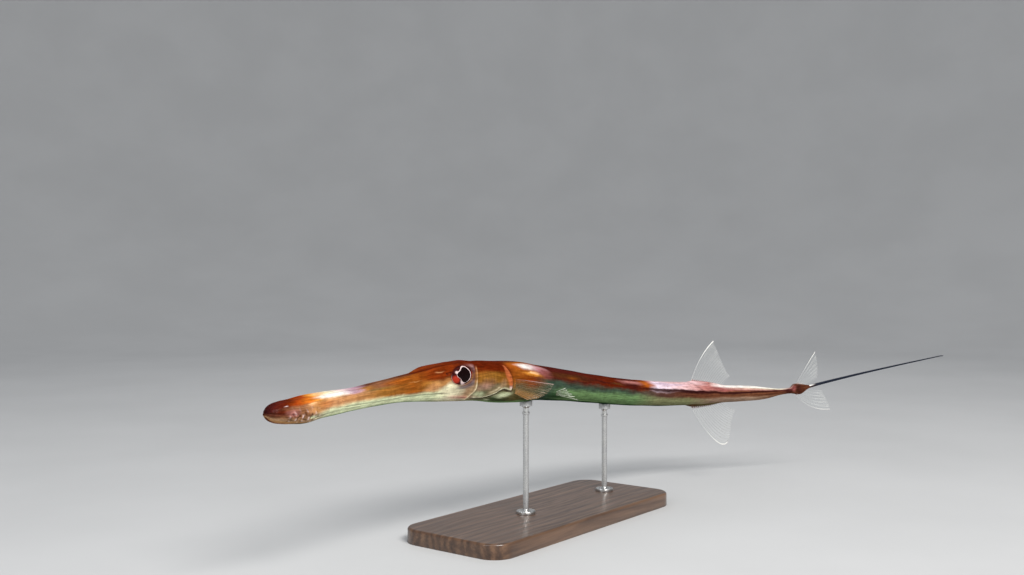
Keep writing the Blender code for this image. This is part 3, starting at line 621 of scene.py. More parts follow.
def gillForm(at, form):
    # a plate with fan lines, a soft flap behind it, and the slit that it closes; rear and below are
    # metres past its rear edge and its foot
    rear = (at.s - gillRear(at.side)) * bodyLength
    below = np.radians(coverFoot(at.s) - at.side) * at.girth
    edge = np.where(at.s > 0.29, np.maximum(rear, below), rear)
    shown = ease(at.side, *form["low"]) * (1 - ease(at.side, *form["high"])) * ease(at.s, *form["from"])
    cover = shown * (1 - ease(edge, *form["coverEdge"])) * ease(at.s - gillFront(at.side), 0.0, 0.004)
    broad = form["flap"][0] + form["flap"][1] * bump(at.side, *form["flapSide"])
    flap = shown * ease(rear, -broad - 0.0010, -broad + 0.0012) * (1 - ease(edge, *form["flapEdge"]))
    flap = flap * ease(at.side, *form["flapLow"])
    bend = 1.4 * np.sin(at.side / 8 + 190 * at.s)
    stria = np.sin(2 * np.pi * (at.along / form["striaLength"] + at.side / 90) + bend)
    stria = stria * cover * (1 - flap) * bump(at.side, *form["striaSide"])
    push = form["height"] * cover + form["stria"] * stria - form["depth"] * shown * bump(edge, *form["slit"])
    groove = shown * bump(rear, -broad - 0.0006, form["flapGroove"]) * ease(at.side, -20, -6)
    rim = sum(share * bump(edge, *across) * ease(-at.side, *down) * ease(at.s, *along)
              for share, across, down, along in form["rims"])
    foot = between(below, *form["pale"]) * between(at.s, *form["paleAlong"])
    slit = shown * bump(edge, *form["shadeAt"]) * (0.45 + 0.55 * ease(-at.side, 6, 16))
    return push - form["flapDepth"] * groove, {
        "creaseShade": np.maximum(0.14 * ease(-stria, -0.2, 1.0), slit), "rim": shown * rim, "foot": shown * foot,
        "flap": flap, "flapFoot": flap * ease(-at.side, 6, 14)}


def throatForm(at, form):
    # a soft bulge under the cover, folds beside it, and a groove along the middle
    beside = between(at.s, *form["besideAlong"])
    push = form["height"] * bump(at.s, *form["station"]) * bump(at.side, *form["side"])
    push -= form["middle"] * between(at.s, *form["middleAlong"]) * bump(at.side, -90, 6)
    push -= form["beside"] * beside * bump(at.side, form["besideSide"], 3)
    return push, {"creaseShade": form["shade"] * beside * bump(at.side, form["besideSide"], 2.6)}


def lineForm(at, form):
    # lateral line: a row of small beads that grow into scutes on the stalk's keel
    keel = ease(at.s, *form["keel"])
    beads = 0.5 + 0.5 * np.sin(2 * np.pi * at.along / form["spacing"])
    width = form["width"][0] + form["width"][1] * keel
    line = bump(np.radians(at.side - lateralLine(at.s)) * at.girth, 0, width)
    smooth, beaded, scutes = form["heights"]
    return between(at.s, *form["stations"]) * line * (smooth + beaded * beads + scutes * keel * beads), {}


def tailForm(at, form):
    # shoulder bone behind the gill slit, fold across the dorsal fin's seat, roots of the tail's rays
    shoulder = bump(at.s, *form["shoulderAt"]) * between(at.side, *form["shoulderSide"])
    fold = (at.s - form["fold"] - form["foldSweep"] * (80 - at.side) / 60) * bodyLength
    shown = between(at.side, *form["foldSide"])
    push = form["shoulder"] * shoulder + form["foldTop"] * shown * bump(fold, *form["foldTopAt"])
    push -= form["foldDepth"] * shown * bump(fold, form["foldAt"], 0.0007)
    push += form["rootHeight"] * between(at.s, *form["roots"]) * np.sin(at.side / 4.2)
    return push, {"creaseShade": shown * bump(fold, form["foldAt"], 0.0008)}


def swellForm(at, form):
    # low swells, so that no length of it is a plain tube, and the crown between the brows
    push = form["long"] * np.sin(41 * at.s + 2.2 * np.cos(np.radians(at.angle)))
    push *= np.sin(at.side / 17 + 19 * at.s)
    push += form["short"] * np.sin(97 * at.s + at.side / 11) * ease(at.s, 0.02, 0.05)
    crown = form["crown"] * bump(at.side, *form["crownSide"])
    crown -= form["temple"] * between(at.side, *form["templeSide"])
    return push + crown * between(at.s, *form["crownAlong"]), {}


shapers = {"mouth": mouthForm, "folds": foldForm, "plate": plateForm, "snout": snoutForm,
           "nostrils": nostrilForm, "socket": socketForm, "cheek": cheekForm, "gill": gillForm,
           "throat": throatForm, "line": lineForm, "tail": tailForm, "swells": swellForm}


def skinGrid():
    runs = [np.linspace(a, b, n, endpoint=False) for a, b, n in skin["runs"]]
    stations = np.concatenate(runs + [[skin["runs"][-1][1]]])
    turn = np.arange(skin["around"]) * 360 / skin["around"]
    s, angle = np.broadcast_arrays(stations[:, None], turn[None, :])
    base = bodyPoint(s, angle)
    point, _, left, up = frameAt(s)
    at = SimpleNamespace(
        s=s, angle=angle, side=upTheSide(angle), along=s * bodyLength,
        rise=np.sum((base - point) * up, axis=-1), reach=np.abs(np.sum((base - point) * left, axis=-1)),
        girth=(halfWidth(s) + 0.5 * (heightAbove(s) + depthBelow(s))) * bodyLength / 2)
    across = np.roll(base, -1, axis=1) - np.roll(base, 1, axis=1)
    normal = unit(np.cross(np.gradient(base, axis=0), across))
    normal *= np.sign(np.sum(normal * (base - point), axis=-1, keepdims=True))
    push, masks = 0.0, {}
    for name, shaper in shapers.items():
        more, seen = shaper(at, forms[name])
        push = push + more
        for word, mask in seen.items():
            masks[word] = np.maximum(masks.get(word, mask), mask)
    masks["creaseShade"] = np.clip(masks["creaseShade"], 0, 1)
    push = push * ease(s, *skin["formsFrom"])
    return s, angle, base + normal * push[..., None], masks


def bakeMap(made, s, angle):
    # the unwrap: five lengths of the body, one above another, each the whole way round
    rings, around = s.shape
    cuts = [0.0, *skin["bakeStrips"], 1.02]
    mid = (s[:-1, 0] + s[1:, 0]) / 2
    strip = np.searchsorted(cuts, mid) - 1
    low, high = np.take(cuts, strip), np.take(cuts, strip + 1)
    loops = made.data.loops
    vertex = np.zeros(len(loops), dtype=np.int32)
    loops.foreach_get("vertex_index", vertex)
    starts = np.zeros(len(made.data.polygons), dtype=np.int32)
    made.data.polygons.foreach_get("loop_start", starts)
    face = np.zeros(len(loops), dtype=np.int32)
    face[starts] = 1
    face = np.cumsum(face) - 1
    onQuad = face < (rings - 1) * around
    row = np.where(onQuad, face // around, np.where(face < rings * around, 0, rings - 2))
    column = face % around
    onRing = vertex < rings * around
    ring = np.where(onRing, vertex // around, np.where(vertex == rings * around, 0, rings - 1))
    turn = np.where(onRing, vertex % around, column)
    turn = np.where((turn == 0) & (column == around - 1), around, turn)
    u = (s[ring, 0] - low[row]) / (high[row] - low[row])
    v = (strip[row] + 0.03 + 0.94 * turn / around) / (len(cuts) - 1)
    layer = made.data.uv_layers.new(name="OFBake")
    layer.data.foreach_set("uv", np.stack([0.01 + 0.98 * u, v], axis=-1).ravel())


skinLook = {
    "gloss": {"Coat Weight": 0.02, "Coat Roughness": 0.08, "Specular IOR Level": 0.0},
    "wander": (45, 130, 130), "reach": (0.014, 0.24, 0.0), "stir": 0.30,
    "edges": {"lower": 0.09, "middle": 0.12, "upper": 0.10, "top": 0.11},   # half width of each soft border
    "bands": {                                                                # pigments along the body
        # the cream, pink-white and lavender stops from 0.08 to 0.118 and the shell-pink to cream stops from
        # 0.718 to 0.96 are painted highlights
        "top": {
            0: "darkMaroon", 0.014: "maroon", 0.024: "mahogany", 0.033: "rust", 0.044: "flame",
            0.054: "gold", 0.064: "sand", 0.08: "cream", 0.1: "pinkWhite", 0.118: "lavender",
            0.138: "umber", 0.155: "brown", 0.195: "umber", 0.215: "mahogany", 0.34: "mahogany",
            0.365: "maroon", 0.42: "darkMaroon", 0.64: "darkMaroon", 0.69: "rust", 0.718: "shellPink",
            0.81: "shellPink", 0.832: "pink", 0.85: "pinkWhite", 0.96: "cream", 0.976: "pink",
            0.985: "umber"},
        # the cream and lavender stops at 0.088 and 0.11 and the lilac-white to pink stops from 0.715 to 0.82
        # are painted highlights
        "upper": {
            0: "darkMaroon", 0.01: "maroon", 0.02: "mahogany", 0.028: "rust", 0.033: "flame",
            0.04: "orange", 0.049: "ember", 0.062: "gold", 0.076: "sand", 0.088: "cream", 0.11: "lavender",
            0.128: "tawny", 0.148: "brown", 0.18: "copper", 0.205: "copper", 0.23: "rust", 0.3: "mahogany",
            0.355: "mahogany", 0.375: "copper", 0.405: "copper", 0.44: "maroon", 0.5: "maroon",
            0.6: "mahogany", 0.66: "maroon", 0.695: "rust", 0.715: "lilacWhite", 0.775: "shellPink",
            0.82: "pink", 0.87: "rose", 0.95: "maroon", 0.982: "rose", 0.992: "umber"},
        "middle": {
            0: "darkMaroon", 0.009: "maroon", 0.017: "umber", 0.024: "brown", 0.038: "fawn",
            0.05: "salmon", 0.06: "peach", 0.074: "salmon", 0.12: "salmon", 0.15: "tawny", 0.2: "copper",
            0.225: "tawny", 0.245: "peach", 0.275: "copper", 0.3: "goldOlive", 0.34: "goldOlive",
            0.372: "copper", 0.405: "rust", 0.44: "slateGreen", 0.64: "slateGreen", 0.72: "mauve",
            0.8: "umber", 0.87: "brown", 0.95: "umber", 0.985: "umber"},
        "lower": {
            0: "umber", 0.006: "brown", 0.012: "fawn", 0.034: "fawn", 0.046: "tan", 0.06: "stone",
            0.076: "paleGreen", 0.235: "paleGreen", 0.262: "cream", 0.29: "tan", 0.312: "greyGreen",
            0.35: "greyGreen", 0.38: "olive", 0.44: "slateGreen", 0.49: "green", 0.66: "green",
            0.715: "moss", 0.79: "moss", 0.84: "clay", 0.91: "clay", 0.955: "brown", 0.985: "umber"},
        # the dark green from 0.43 to 0.74 is painted shade on the underside
        "belly": {
            0: "umber", 0.02: "brown", 0.045: "greyGreen", 0.07: "green", 0.2: "green", 0.27: "stone",
            0.33: "green", 0.39: "green", 0.43: "darkGreen", 0.74: "darkGreen", 0.84: "olive",
            0.9: "brown", 0.985: "umber"},
    },
    "markings": {       # station, side as a share of 90 degrees, half length, half height, softness,
                        # pigment, strength, and lean where it slants
        "jawPlum": (0.004, -0.12, 0.006, 0.2, 0.7, "umber", 0.7),
        "lipEdge": (0.018, -0.52, 0.022, 0.22, 0.6, "tan", 0.95),
        "jawLight": (0.022, -0.64, 0.018, 0.1, 0.7, "peach", 0.8),
        "lipRed": (0.016, 0.06, 0.006, 0.1, 0.8, "mahogany", 0.7),
        "cornerPink": (0.025, -0.04, 0.006, 0.14, 0.7, "pink", 0.8),
        # painted highlight on the snout's tip
        "tipHighlight": (0.0192, 0.36, 0.0018, 0.03, 0.8, "pinkWhite", 0.8),
        "snoutGold": (0.05, 0.2, 0.005, 0.05, 0.7, "sand", 0.9),
        "foldsDark": (0.045, -0.14, 0.008, 0.14, 0.9, "umber", 0.6),
        "behindCorner": (0.051, -0.28, 0.005, 0.06, 0.7, "paleGreen", 0.8),
        "behindFold": (0.057, -0.44, 0.004, 0.05, 0.7, "cream", 0.7),
        "snoutRed": (0.068, 0.1, 0.01, 0.12, 0.9, "orange", 0.5),
        # painted highlight along the snout's upper edge: the white patch, then the lavender one
        "snoutHighlight": (0.084, 0.52, 0.024, 0.16, 0.5, "white", 0.9),
        "snoutLilacHighlight": (0.112, 0.52, 0.012, 0.14, 0.7, "lavender", 0.7),
        "oliveStreak": (0.145, 0.28, 0.022, 0.07, 0.7, "olive", 0.6),
        "redStreak": (0.18, 0.55, 0.022, 0.09, 0.8, "orange", 0.5),
        "tawnyStreak": (0.13, 0.06, 0.03, 0.1, 0.9, "tawny", 0.5),
        # painted highlight on the brow ridge
        "browHighlight": (0.244, 0.455, 0.006, 0.022, 0.8, "salmon", 0.9),
        "browStreak": (0.203, 0.26, 0.008, 0.02, 0.8, "peach", 0.6),
        "cheekPeach": (0.232, -0.1, 0.014, 0.12, 0.7, "salmon", 0.7),
        "cheekPale": (0.264, -0.22, 0.017, 0.17, 0.6, "cream", 0.9),
        "jawPink": (0.28, -0.54, 0.022, 0.07, 0.8, "pink", 0.6),
        "jawCream": (0.272, -0.66, 0.03, 0.06, 0.8, "cream", 0.8),
        "gillTop": (0.332, 0.4, 0.034, 0.2, 0.5, "mahogany", 0.9),
        "gillFront": (0.312, 0.24, 0.01, 0.14, 0.7, "rust", 0.4),
        "gillGold": (0.322, 0.1, 0.022, 0.12, 0.9, "tawny", 0.6),
        "gillFoot": (0.309, -0.42, 0.01, 0.09, 0.8, "paleGreen", 0.5),
        "gillPink": (0.32, -0.14, 0.014, 0.12, 0.9, "pink", 0.45, 0.03),
        "throat": (0.354, -0.39, 0.011, 0.1, 0.7, "paleGreen", 0.9, 0.06),
        "throatSpot": (0.333, -0.66, 0.005, 0.04, 0.8, "paleGreen", 0.7),
        "throatDark": (0.341, -0.53, 0.007, 0.07, 0.8, "darkGreen", 0.6),
        # painted shade along the throat's lower edge
        "throatEdgeShade": (0.356, -0.66, 0.018, 0.1, 0.8, "darkGreen", 0.7),
        "shoulderTop": (0.378, 0.54, 0.014, 0.18, 0.7, "orange", 0.8),
        # painted highlight across the shoulder, white
        "shoulderHighlight": (0.408, 0.53, 0.023, 0.12, 0.6, "white", 0.95, -0.05),
        "shoulderGold": (0.407, 0.27, 0.016, 0.075, 0.7, "gold", 0.95, -0.07),
        "shoulderSand": (0.411, 0.3, 0.009, 0.04, 0.7, "sand", 0.9, -0.07),
        # the orchid and rose patches are the rear of the shoulder's painted highlight
        "shoulderLilacHighlight": (0.424, 0.48, 0.014, 0.16, 0.95, "orchid", 0.9, -0.03),
        "shoulderRoseHighlight": (0.434, 0.35, 0.01, 0.17, 1, "rose", 0.85, -0.02),
        "backBrown": (0.488, 0.32, 0.048, 0.13, 0.9, "bark", 0.85),
        # painted shade: dark green on the lower flank near the pelvic fins
        "flankShade": (0.468, -0.42, 0.03, 0.14, 0.8, "darkGreen", 0.7),
        "tanStreak": (0.612, 0.3, 0.014, 0.03, 0.9, "tawny", 0.5),
        "trunkOrange": (0.498, 0.26, 0.012, 0.06, 0.9, "copper", 0.6),
        "sideDark": (0.585, 0.3, 0.09, 0.05, 0.8, "darkMaroon", 0.5),
        # painted highlight on the back, pink
        "backPinkHighlight": (0.652, 0.5, 0.03, 0.12, 0.7, "pink", 0.9),
        "backFlame": (0.695, 0.52, 0.016, 0.2, 0.7, "orange", 0.8),
        # painted highlight on the back, violet-white
        "backHighlight": (0.745, 0.59, 0.034, 0.1, 0.6, "violetWhite", 0.9),
        "lineFront": (0.735, 0.2, 0.06, 0.07, 0.5, "darkMaroon", 0.95),
        "stalkShade": (0.838, 0, 0.062, 0.15, 0.7, "umber", 0.75),
        "lineMiddle": (0.805, 0.14, 0.052, 0.09, 0.6, "darkMaroon", 1),
        "lineRear": (0.868, 0.11, 0.036, 0.08, 0.6, "darkMaroon", 0.9),
        "lineTail": (0.924, 0.18, 0.03, 0.16, 0.5, "darkMaroon", 0.95, 0.316),
        "stalkDark": (0.973, 0.05, 0.009, 0.6, 0.7, "darkMaroon", 0.85),
        # painted highlight along the top of the tail stalk
        "stalkHighlight": (0.912, 0.78, 0.06, 0.2, 0.4, "white", 0.9),
        "stalkPink": (0.865, 0.42, 0.04, 0.12, 0.7, "rose", 0.6),
        "stalkLine": (0.908, 0.41, 0.036, 0.08, 0.7, "shell", 0.85),
        # painted highlight on the top of the tail's knob
        "knobHighlight": (1, 0.92, 0.006, 0.16, 0.6, "white", 0.6),
        "knobDark": (0.994, 0.1, 0.006, 0.6, 0.7, "darkMaroon", 0.7),
        "knobRose": (0.984, 0.2, 0.003, 0.4, 0.8, "rose", 0.7),
        "ventShade": (0.806, -0.85, 0.01, 0.12, 0.8, "umber", 0.7),
    },
    # foldTop paints a pink-white highlight on the tops of the snout's folds
    "forms": {"blush": ("dusk", 0.8), "crescent": ("slate", 0.9), "cheek": ("salmon", 0.8),
              "cheekFoot": ("cream", 0.8), "flap": ("coral", 0.85), "foot": ("tan", 0.6),
              "flapFoot": ("pinkWhite", 0.8), "rim": ("cream", 0.95), "foldTop": ("pinkWhite", 0.7)},
    "streaks": (60, 900, 900), "streakShade": (0.72, 1.22), "rough": (0.30, 0.46), "bump": (0.35, 0.0003),
    "clouds": 0.22, "cloudNoise": (210.0, 4.0, 0.36, 0.68),      # scale, detail, low, high
    "pores": 0.35, "poreNoise": (1500.0, 1.0, 0.62, 0.72),
    "leather": (0.6, 1, 1), "grain": {"Scale": 1300.0, "Cell": 0.6, "Noise": 0.5},
}


def skinMaterial():
    look = skinLook
    made, tree, shader = makeMaterial("wetSkin", **look["gloss"])
    marks, borders, straight = (attribute(tree, name) for name in ("marks", "borders", "straight"))

    # the borders between bands wander with noise that is stretched along the body
    wander = noiseOf(tree, scaled(tree, straight, *look["wander"]), Detail=4.0, Roughness=0.6)["Color"]
    shift = vectorCalc(tree, "SUBTRACT", wander, (0.5, 0.5, 0.5))
    place = vectorCalc(tree, "ADD", scaled(tree, shift, *look["reach"]), marks)
    station = partsOf(tree, place)["X"]
    stir = partsOf(tree, shift)["Y"]
    near = partsOf(tree, borders)
    above = {"lower": partsOf(tree, marks)["Z"], "middle": near["Z"], "upper": near["X"], "top": near["Y"]}
    colours = {name: rampOf(tree, station, [(at, pigments[word]) for at, word in stops.items()])
               for name, stops in look["bands"].items()}
    colour = colours["belly"]
    for name, soft in look["edges"].items():
        stirred = calc(tree, "MULTIPLY_ADD", stir, look["stir"], above[name])
        colour = mixed(tree, fromTo(tree, stirred, -soft, soft), colour, colours[name])
    colour = patched(tree, colour, place, look["markings"])
    for name, (word, strength) in look["forms"].items():
        colour = painted(tree, colour, attribute(tree, name, "Fac"), strength, word)

    # streaks along the body, cloudy mottling and dark pores
    streak = noiseOf(tree, scaled(tree, straight, *look["streaks"]), Detail=3.0)["Fac"]
    shade = fromTo(tree, streak, 0.30, 0.70, *look["streakShade"])
    grey = addNode(tree, "ShaderNodeCombineXYZ", {0: shade, 1: shade, 2: shade}).outputs[0]
    colour = mixed(tree, 1.0, colour, grey, "MULTIPLY")
    clouds = mottled(tree, straight, *look["cloudNoise"])
    colour = mixed(tree, times(tree, clouds, look["clouds"]), colour, pigments["brown"], "MULTIPLY")
    pores = mottled(tree, straight, *look["poreNoise"])
    creaseShade = attribute(tree, "creaseShade", "Fac")
    colour = painted(tree, colour, pores, look["pores"], "darkMaroon")
    # painted shade: the creases, grooves, slits and fold hollows are darkened
    colour = painted(tree, colour, creaseShade, 0.8, "darkMaroon")
    # painted shade: a dark line round the eye's edge, where it sits in its socket
    colour = painted(tree, colour, attribute(tree, "socket", "Fac"), 0.6, "maroon")
    rough = fromTo(tree, clouds, 0.0, 1.0, *look["rough"])
    feed(shader, {"Base Color": colour, "Roughness": calc(tree, "ADD", rough, times(tree, creaseShade, 0.2))})
    leather = scaled(tree, straight, *look["leather"])
    grain = useGroup(tree, fineGrain, {"Place": leather, **look["grain"]})["Height"]
    emboss(shader, calc(tree, "ADD", grain, times(tree, streak, 0.9)), *look["bump"])
    return made


def makeSkin():
    s, angle, points, masks = skinGrid()
    made = makeTube("skin", points, points[0].mean(axis=0), points[-1].mean(axis=0))
    ends = np.array([s[0, 0], s[-1, 0]])
    side = upTheSide(angle) / 90
    turn = np.radians(angle)
    girth = halfWidth(s) * bodyLength
    over = {name: side - smoothCurve(points)(s) / 90 for name, points in skin["borders"].items()}
    marks = np.stack([s, side, over["belly"]], axis=-1).reshape(-1, 3)
    borders = np.stack([over["upper"], over["top"], over["lower"]], axis=-1).reshape(-1, 3)
    straight = np.stack([s * bodyLength, np.cos(turn) * girth, np.sin(turn) * girth], axis=-1).reshape(-1, 3)
    tips = np.stack([ends, [0, 0], [0, 0]], axis=-1)
    setValues(made, "marks", np.concatenate([marks, tips]))
    setValues(made, "borders", np.concatenate([borders, borders[[0, -1]]]))
    setValues(made, "straight", np.concatenate([straight, tips * bodyLength]))
    for name, values in masks.items():
        setValues(made, name, np.concatenate([values.ravel(), [0, 0]]))
    bakeMap(made, s, angle)
    dress(made, skinMaterial(), "skin_body", "upper_jaw", "lower_jaw", "snout", "head", "gill_cover_left",
          "gill_cover_right", "trunk_front", "trunk_middle", "trunk_rear", "tail_stalk", "tail_root")
    print("skin:", len(made.data.polygons), "faces")


makeSkin()


# Eyes

eye = {
    "radii": (0.0204, 0.0062, 0.0112), "bulge": 0.0020,
    "rings": 70, "around": 128, "cornea": 0.0004,
    "gloss": {"Coat Weight": 0.10, "Coat Roughness": 0.02, "Roughness": 0.4, "Specular IOR Level": 0.0},
    "ragged": 0.07, "ring": (0.05, 0.12),   # wander of the pupil's edge; the pale ring's least and most
    "spots": {      # across, up, half length, half height, softness, pigment, strength, lean
        "blood": (-0.60, -0.32, 0.26, 0.36, 0.4, "blood", 1.0, -0.2),
        "rearRed": (0.86, -0.05, 0.08, 0.60, 0.6, "blood", 0.7),
        "frontPink": (-0.56, 0.38, 0.10, 0.12, 0.6, "pinkWhite", 0.9),
        "footPink": (0.00, -0.74, 0.15, 0.30, 0.5, "pinkWhite", 0.95, -0.45),
        "footRose": (0.14, -0.88, 0.10, 0.10, 0.6, "lavender", 0.8),
    },
    "pupilCentre": (0.07, 0.05),
    "pupil": ((-76, 0.76), (-33, 0.64), (-3, 0.57), (52, 0.61), (95, 0.78), (125, 0.58),   # degrees round it,
              (164, 0.62), (229, 0.46), (284, 0.76), (327, 0.64), (357, 0.57)),      # and its reach there
}


def eyeMaterial():
    made, tree, shader = makeMaterial("clearEye", **eye["gloss"])
    gaze = attribute(tree, "gaze")
    parts = partsOf(tree, gaze)
    fibres = noiseOf(tree, scaled(tree, gaze, 6, 6, 6), Scale=1.4, Detail=4.0)["Fac"]
    pupil = calc(tree, "ADD", attribute(tree, "pupil", "Fac"),
                 times(tree, calc(tree, "SUBTRACT", fibres, 0.5), eye["ragged"]))
    outer = attribute(tree, "outer", "Fac")
    iris = mixed(tree, fromTo(tree, fibres, 0.40, 0.70), pigments["darkMaroon"], pigments["maroon"])
    iris = patched(tree, iris, gaze, eye["spots"])
    rimLight = times(tree, fromTo(tree, outer, 0.88, 0.96), fromTo(tree, parts["Y"], 0.3, -0.2))
    iris = mixed(tree, rimLight, iris, pigments["pinkWhite"])
    iris = mixed(tree, fromTo(tree, outer, 0.97, 1.03), iris, pigments["darkMaroon"])
    ringWide = fromTo(tree, calc(tree, "ADD", parts["X"], parts["Y"]), -0.35, -0.05, *eye["ring"])
    onRing = times(tree, fromTo(tree, pupil, -0.01, 0.03),
                   fromTo(tree, calc(tree, "SUBTRACT", pupil, ringWide), 0.03, -0.02))
    colour = mixed(tree, fromTo(tree, pupil, -0.01, 0.02), pigments["black"], iris)
    feed(shader, {"Base Color": painted(tree, colour, onRing, 0.95, "pinkWhite")})
    return made


def makeEye(side, word, material):
    # an oval ball with its pole at the pupil: x and z run round it, y is its depth
    socket = forms["socket"]
    s = socket["station"]
    point, _, left, up = frameAt(s)
    angle = math.degrees(math.atan2(socket["rise"], float(halfWidth(s)) * bodyLength))
    reach = float(np.dot(bodyPoint(s, angle) - point, left))
    centre = point + left * side * (reach + eye["bulge"] - eye["radii"][1]) + up * socket["rise"]
    polar = np.linspace(0, math.pi, eye["rings"] + 2)[1:-1, None]
    turn = np.arange(eye["around"])[None, :] * 2 * math.pi / eye["around"]
    x, z = np.sin(polar) * np.cos(turn), np.sin(polar) * np.sin(turn)
    depth = np.cos(polar) + 0 * turn
    radii = eye["radii"]
    cornea = eye["cornea"] * ease(depth, 0.62, 0.80)
    points = (centre + x[..., None] * radii[0] * np.array([1.0, 0, 0]) + z[..., None] * radii[2] * up
              + (depth * radii[1] + cornea)[..., None] * left * side)
    poles = [centre + left * side * (radii[1] + eye["cornea"]), centre - left * side * radii[1]]
    made = makeTube("eye_" + word, points, *poles)
    seenX, seenZ = x * radii[0] / socket["size"][0], z * radii[2] / socket["size"][1]
    gaze = np.concatenate([np.stack([seenX, seenZ, depth], axis=-1).reshape(-1, 3), [(0, 0, 1), (0, 0, -1)]])
    # the pupil has a point at its top, front and foot: 0 on its edge, less inside, more outside
    px, pz = gaze[:, 0] - eye["pupilCentre"][0], gaze[:, 1] - eye["pupilCentre"][1]
    way = (np.degrees(np.arctan2(pz, px)) + 76) % 360 - 76
    pupil = np.hypot(px, pz) / smoothCurve(eye["pupil"])(way) - 1
    setValues(made, "gaze", gaze)
    setValues(made, "pupil", np.where(gaze[:, 2] > 0, pupil, 1.0))
    setValues(made, "outer", np.hypot(gaze[:, 0], gaze[:, 1]))
    dress(made, material, "eye", "eye_" + word)


clearEye = eyeMaterial()
for side, word in ((1, "left"), (-1, "right")):
    makeEye(side, word, clearEye)
print("eyes made")


# Fins

def fanPoints(base, length, direction, rows):
    # each ray starts on the skin and steps along its own turning direction, up to its length
    v = np.linspace(0, 1, rows)
    way = np.stack([direction(x) for x in v], axis=1)
    steps = (way[:, 1:] + way[:, :-1]) / 2 * (length[:, None, None] / (rows - 1))
    return np.concatenate([base[:, None, :], base[:, None, :] + np.cumsum(steps, axis=1)], axis=1)


def tilted(tailward, out, angle):
    angle = np.radians(angle)
    return np.cos(angle)[:, None] * tailward + np.sin(angle)[:, None] * out


finForm = {"perRay": 12, "rows": 46, "web": 0.00020, "edge": 0.00009, "branchFrom": 0.42, "ripple": 0.0005,
           "sunk": 0.0006, "least": 0.0006,      # how far a root sits in the skin, and a ray's least length
           "pairedSunk": 0.0008, "pairedLeast": 0.001, "pairedRun": 0.0025, "steep": 66, "steepTo": 0.35}


def makeFin(name, base, length, direction, form, material):
    # thickness = web + ray * exp(-(distance to the nearest ray / width)^2); each ray forks towards its tip
    u = np.linspace(0, 1, (form["rays"] - 1) * finForm["perRay"] + 1)
    v = np.linspace(0, 1, finForm["rows"])[None, :]
    phase = u * (form["rays"] - 1)
    nearest = np.round(phase)
    off = (phase - nearest)[:, None]
    points = fanPoints(base, length, direction, finForm["rows"])
    normal = unit(np.cross(np.gradient(points, axis=0), np.gradient(points, axis=1)))
    fork = form["fork"] * ease(v, finForm["branchFrom"], 1.0)
    fork = np.where((nearest == 0)[:, None], 0.0, fork)
    width = 0.12 + 0.02 * v
    ridge = np.maximum(bump(off, fork, width), bump(off, -fork, width))
    ray = (form["ray"] * (1 - 0.80 * v ** 0.8)) * np.where((nearest == 0)[:, None], 1.25, 1.0)
    web = finForm["web"] + (finForm["edge"] - finForm["web"]) * v
    half = (web + ray * ridge) / 2
    ripple = finForm["ripple"] * v * (1 - 0.3 * v) * (1 - ridge)
    ripple = ripple * np.sin(np.pi * off * 2 + nearest[:, None] * 1.7)
    middle = points + normal * ripple[..., None]
    made = makeSlab(name, middle + normal * half[..., None], middle - normal * half[..., None])
    across, out = np.broadcast_arrays(u[:, None], v)
    fan = np.stack([across, out, np.zeros_like(out)], axis=-1).reshape(-1, 3)
    setValues(made, "ray", np.tile(ridge.ravel(), 2))
    setValues(made, "fan", np.tile(fan, (2, 1)))
    dress(made, material, "fin", name)


def finMaterial(name, look):
    # pale rays with a darker edge in a clear web; a tinted part near the root, and a white leading ray
    made, tree, shader = makeMaterial(name, **{"Roughness": 0.35, "Specular IOR Level": 0.25})
    ray = attribute(tree, "ray", "Fac")
    fan = attribute(tree, "fan")
    parts = partsOf(tree, fan)
    lead = times(tree, fromTo(tree, parts["X"], look["leadWide"], 0.0),
                 fromTo(tree, parts["Y"], look["leadFrom"], look["leadFrom"] + 0.5, 0.35, 1.0))
    tint = times(tree, fromTo(tree, parts["Y"], look["tintReach"], look["tintReach"] * 0.5),
                 fromTo(tree, parts["X"], *look["tintAcross"]))
    cloud = mottled(tree, fan, 9.0, 3.0, 0.35, 0.7)
    colour = mixed(tree, tint, look["web"], look["tint"])
    colour = mixed(tree, fromTo(tree, ray, 0.10, 0.45), colour, look["edge"])
    colour = mixed(tree, fromTo(tree, ray, 0.60, 0.90), colour, look["ray"])
    fade = fromTo(tree, parts["X"], 0.05, 0.45, look["upperRays"], 1.0)
    tip = times(tree, fromTo(tree, parts["Y"], 0.62, 1.0), fromTo(tree, cloud, 0.2, 0.8, 0.25, 1.0))
    tip = times(tree, tip, fade)
    colour = painted(tree, colour, tip, look["tipWhite"], "white")
    alpha = fromTo(tree, ray, look["rayFrom"], look["rayFrom"] + 0.5, look["webAlpha"], look["rayAlpha"])
    alpha = times(tree, times(tree, alpha, fade), fromTo(tree, cloud, 0.0, 1.0, 0.75, 1.2))
    alpha = calc(tree, "ADD", alpha, times(tree, tip, 0.3 * look["tipWhite"]))
    alpha = calc(tree, "MAXIMUM", alpha, times(tree, lead, look["leadAlpha"]))
    alpha = calc(tree, "MAXIMUM", alpha, times(tree, tint, look["tintAlpha"]))
    feed(shader, {"Base Color": mixed(tree, lead, colour, look["lead"]),
                  "Alpha": calc(tree, "MINIMUM", alpha, 1.0)})
    return made


def uprightRoots(upper, form, frameStation=None):
    # across the fin: its share, length, point on the back or belly, and the ways tailward and out
    u = np.linspace(0, 1, (form["rays"] - 1) * finForm["perRay"] + 1)
    s = form["start"] + (form["end"] - form["start"]) * u
    _, tailward, _, up = frameAt(s if frameStation is None else np.full_like(s, frameStation))
    base = bodyPoint(s, 90 if upper else 270, -finForm["sunk"])
    length = form["longest"] * bodyLength * (form["rear"] + (1 - form["rear"]) * (1 - u) ** form["fall"])
    return u, length, base, tailward, up if upper else -up


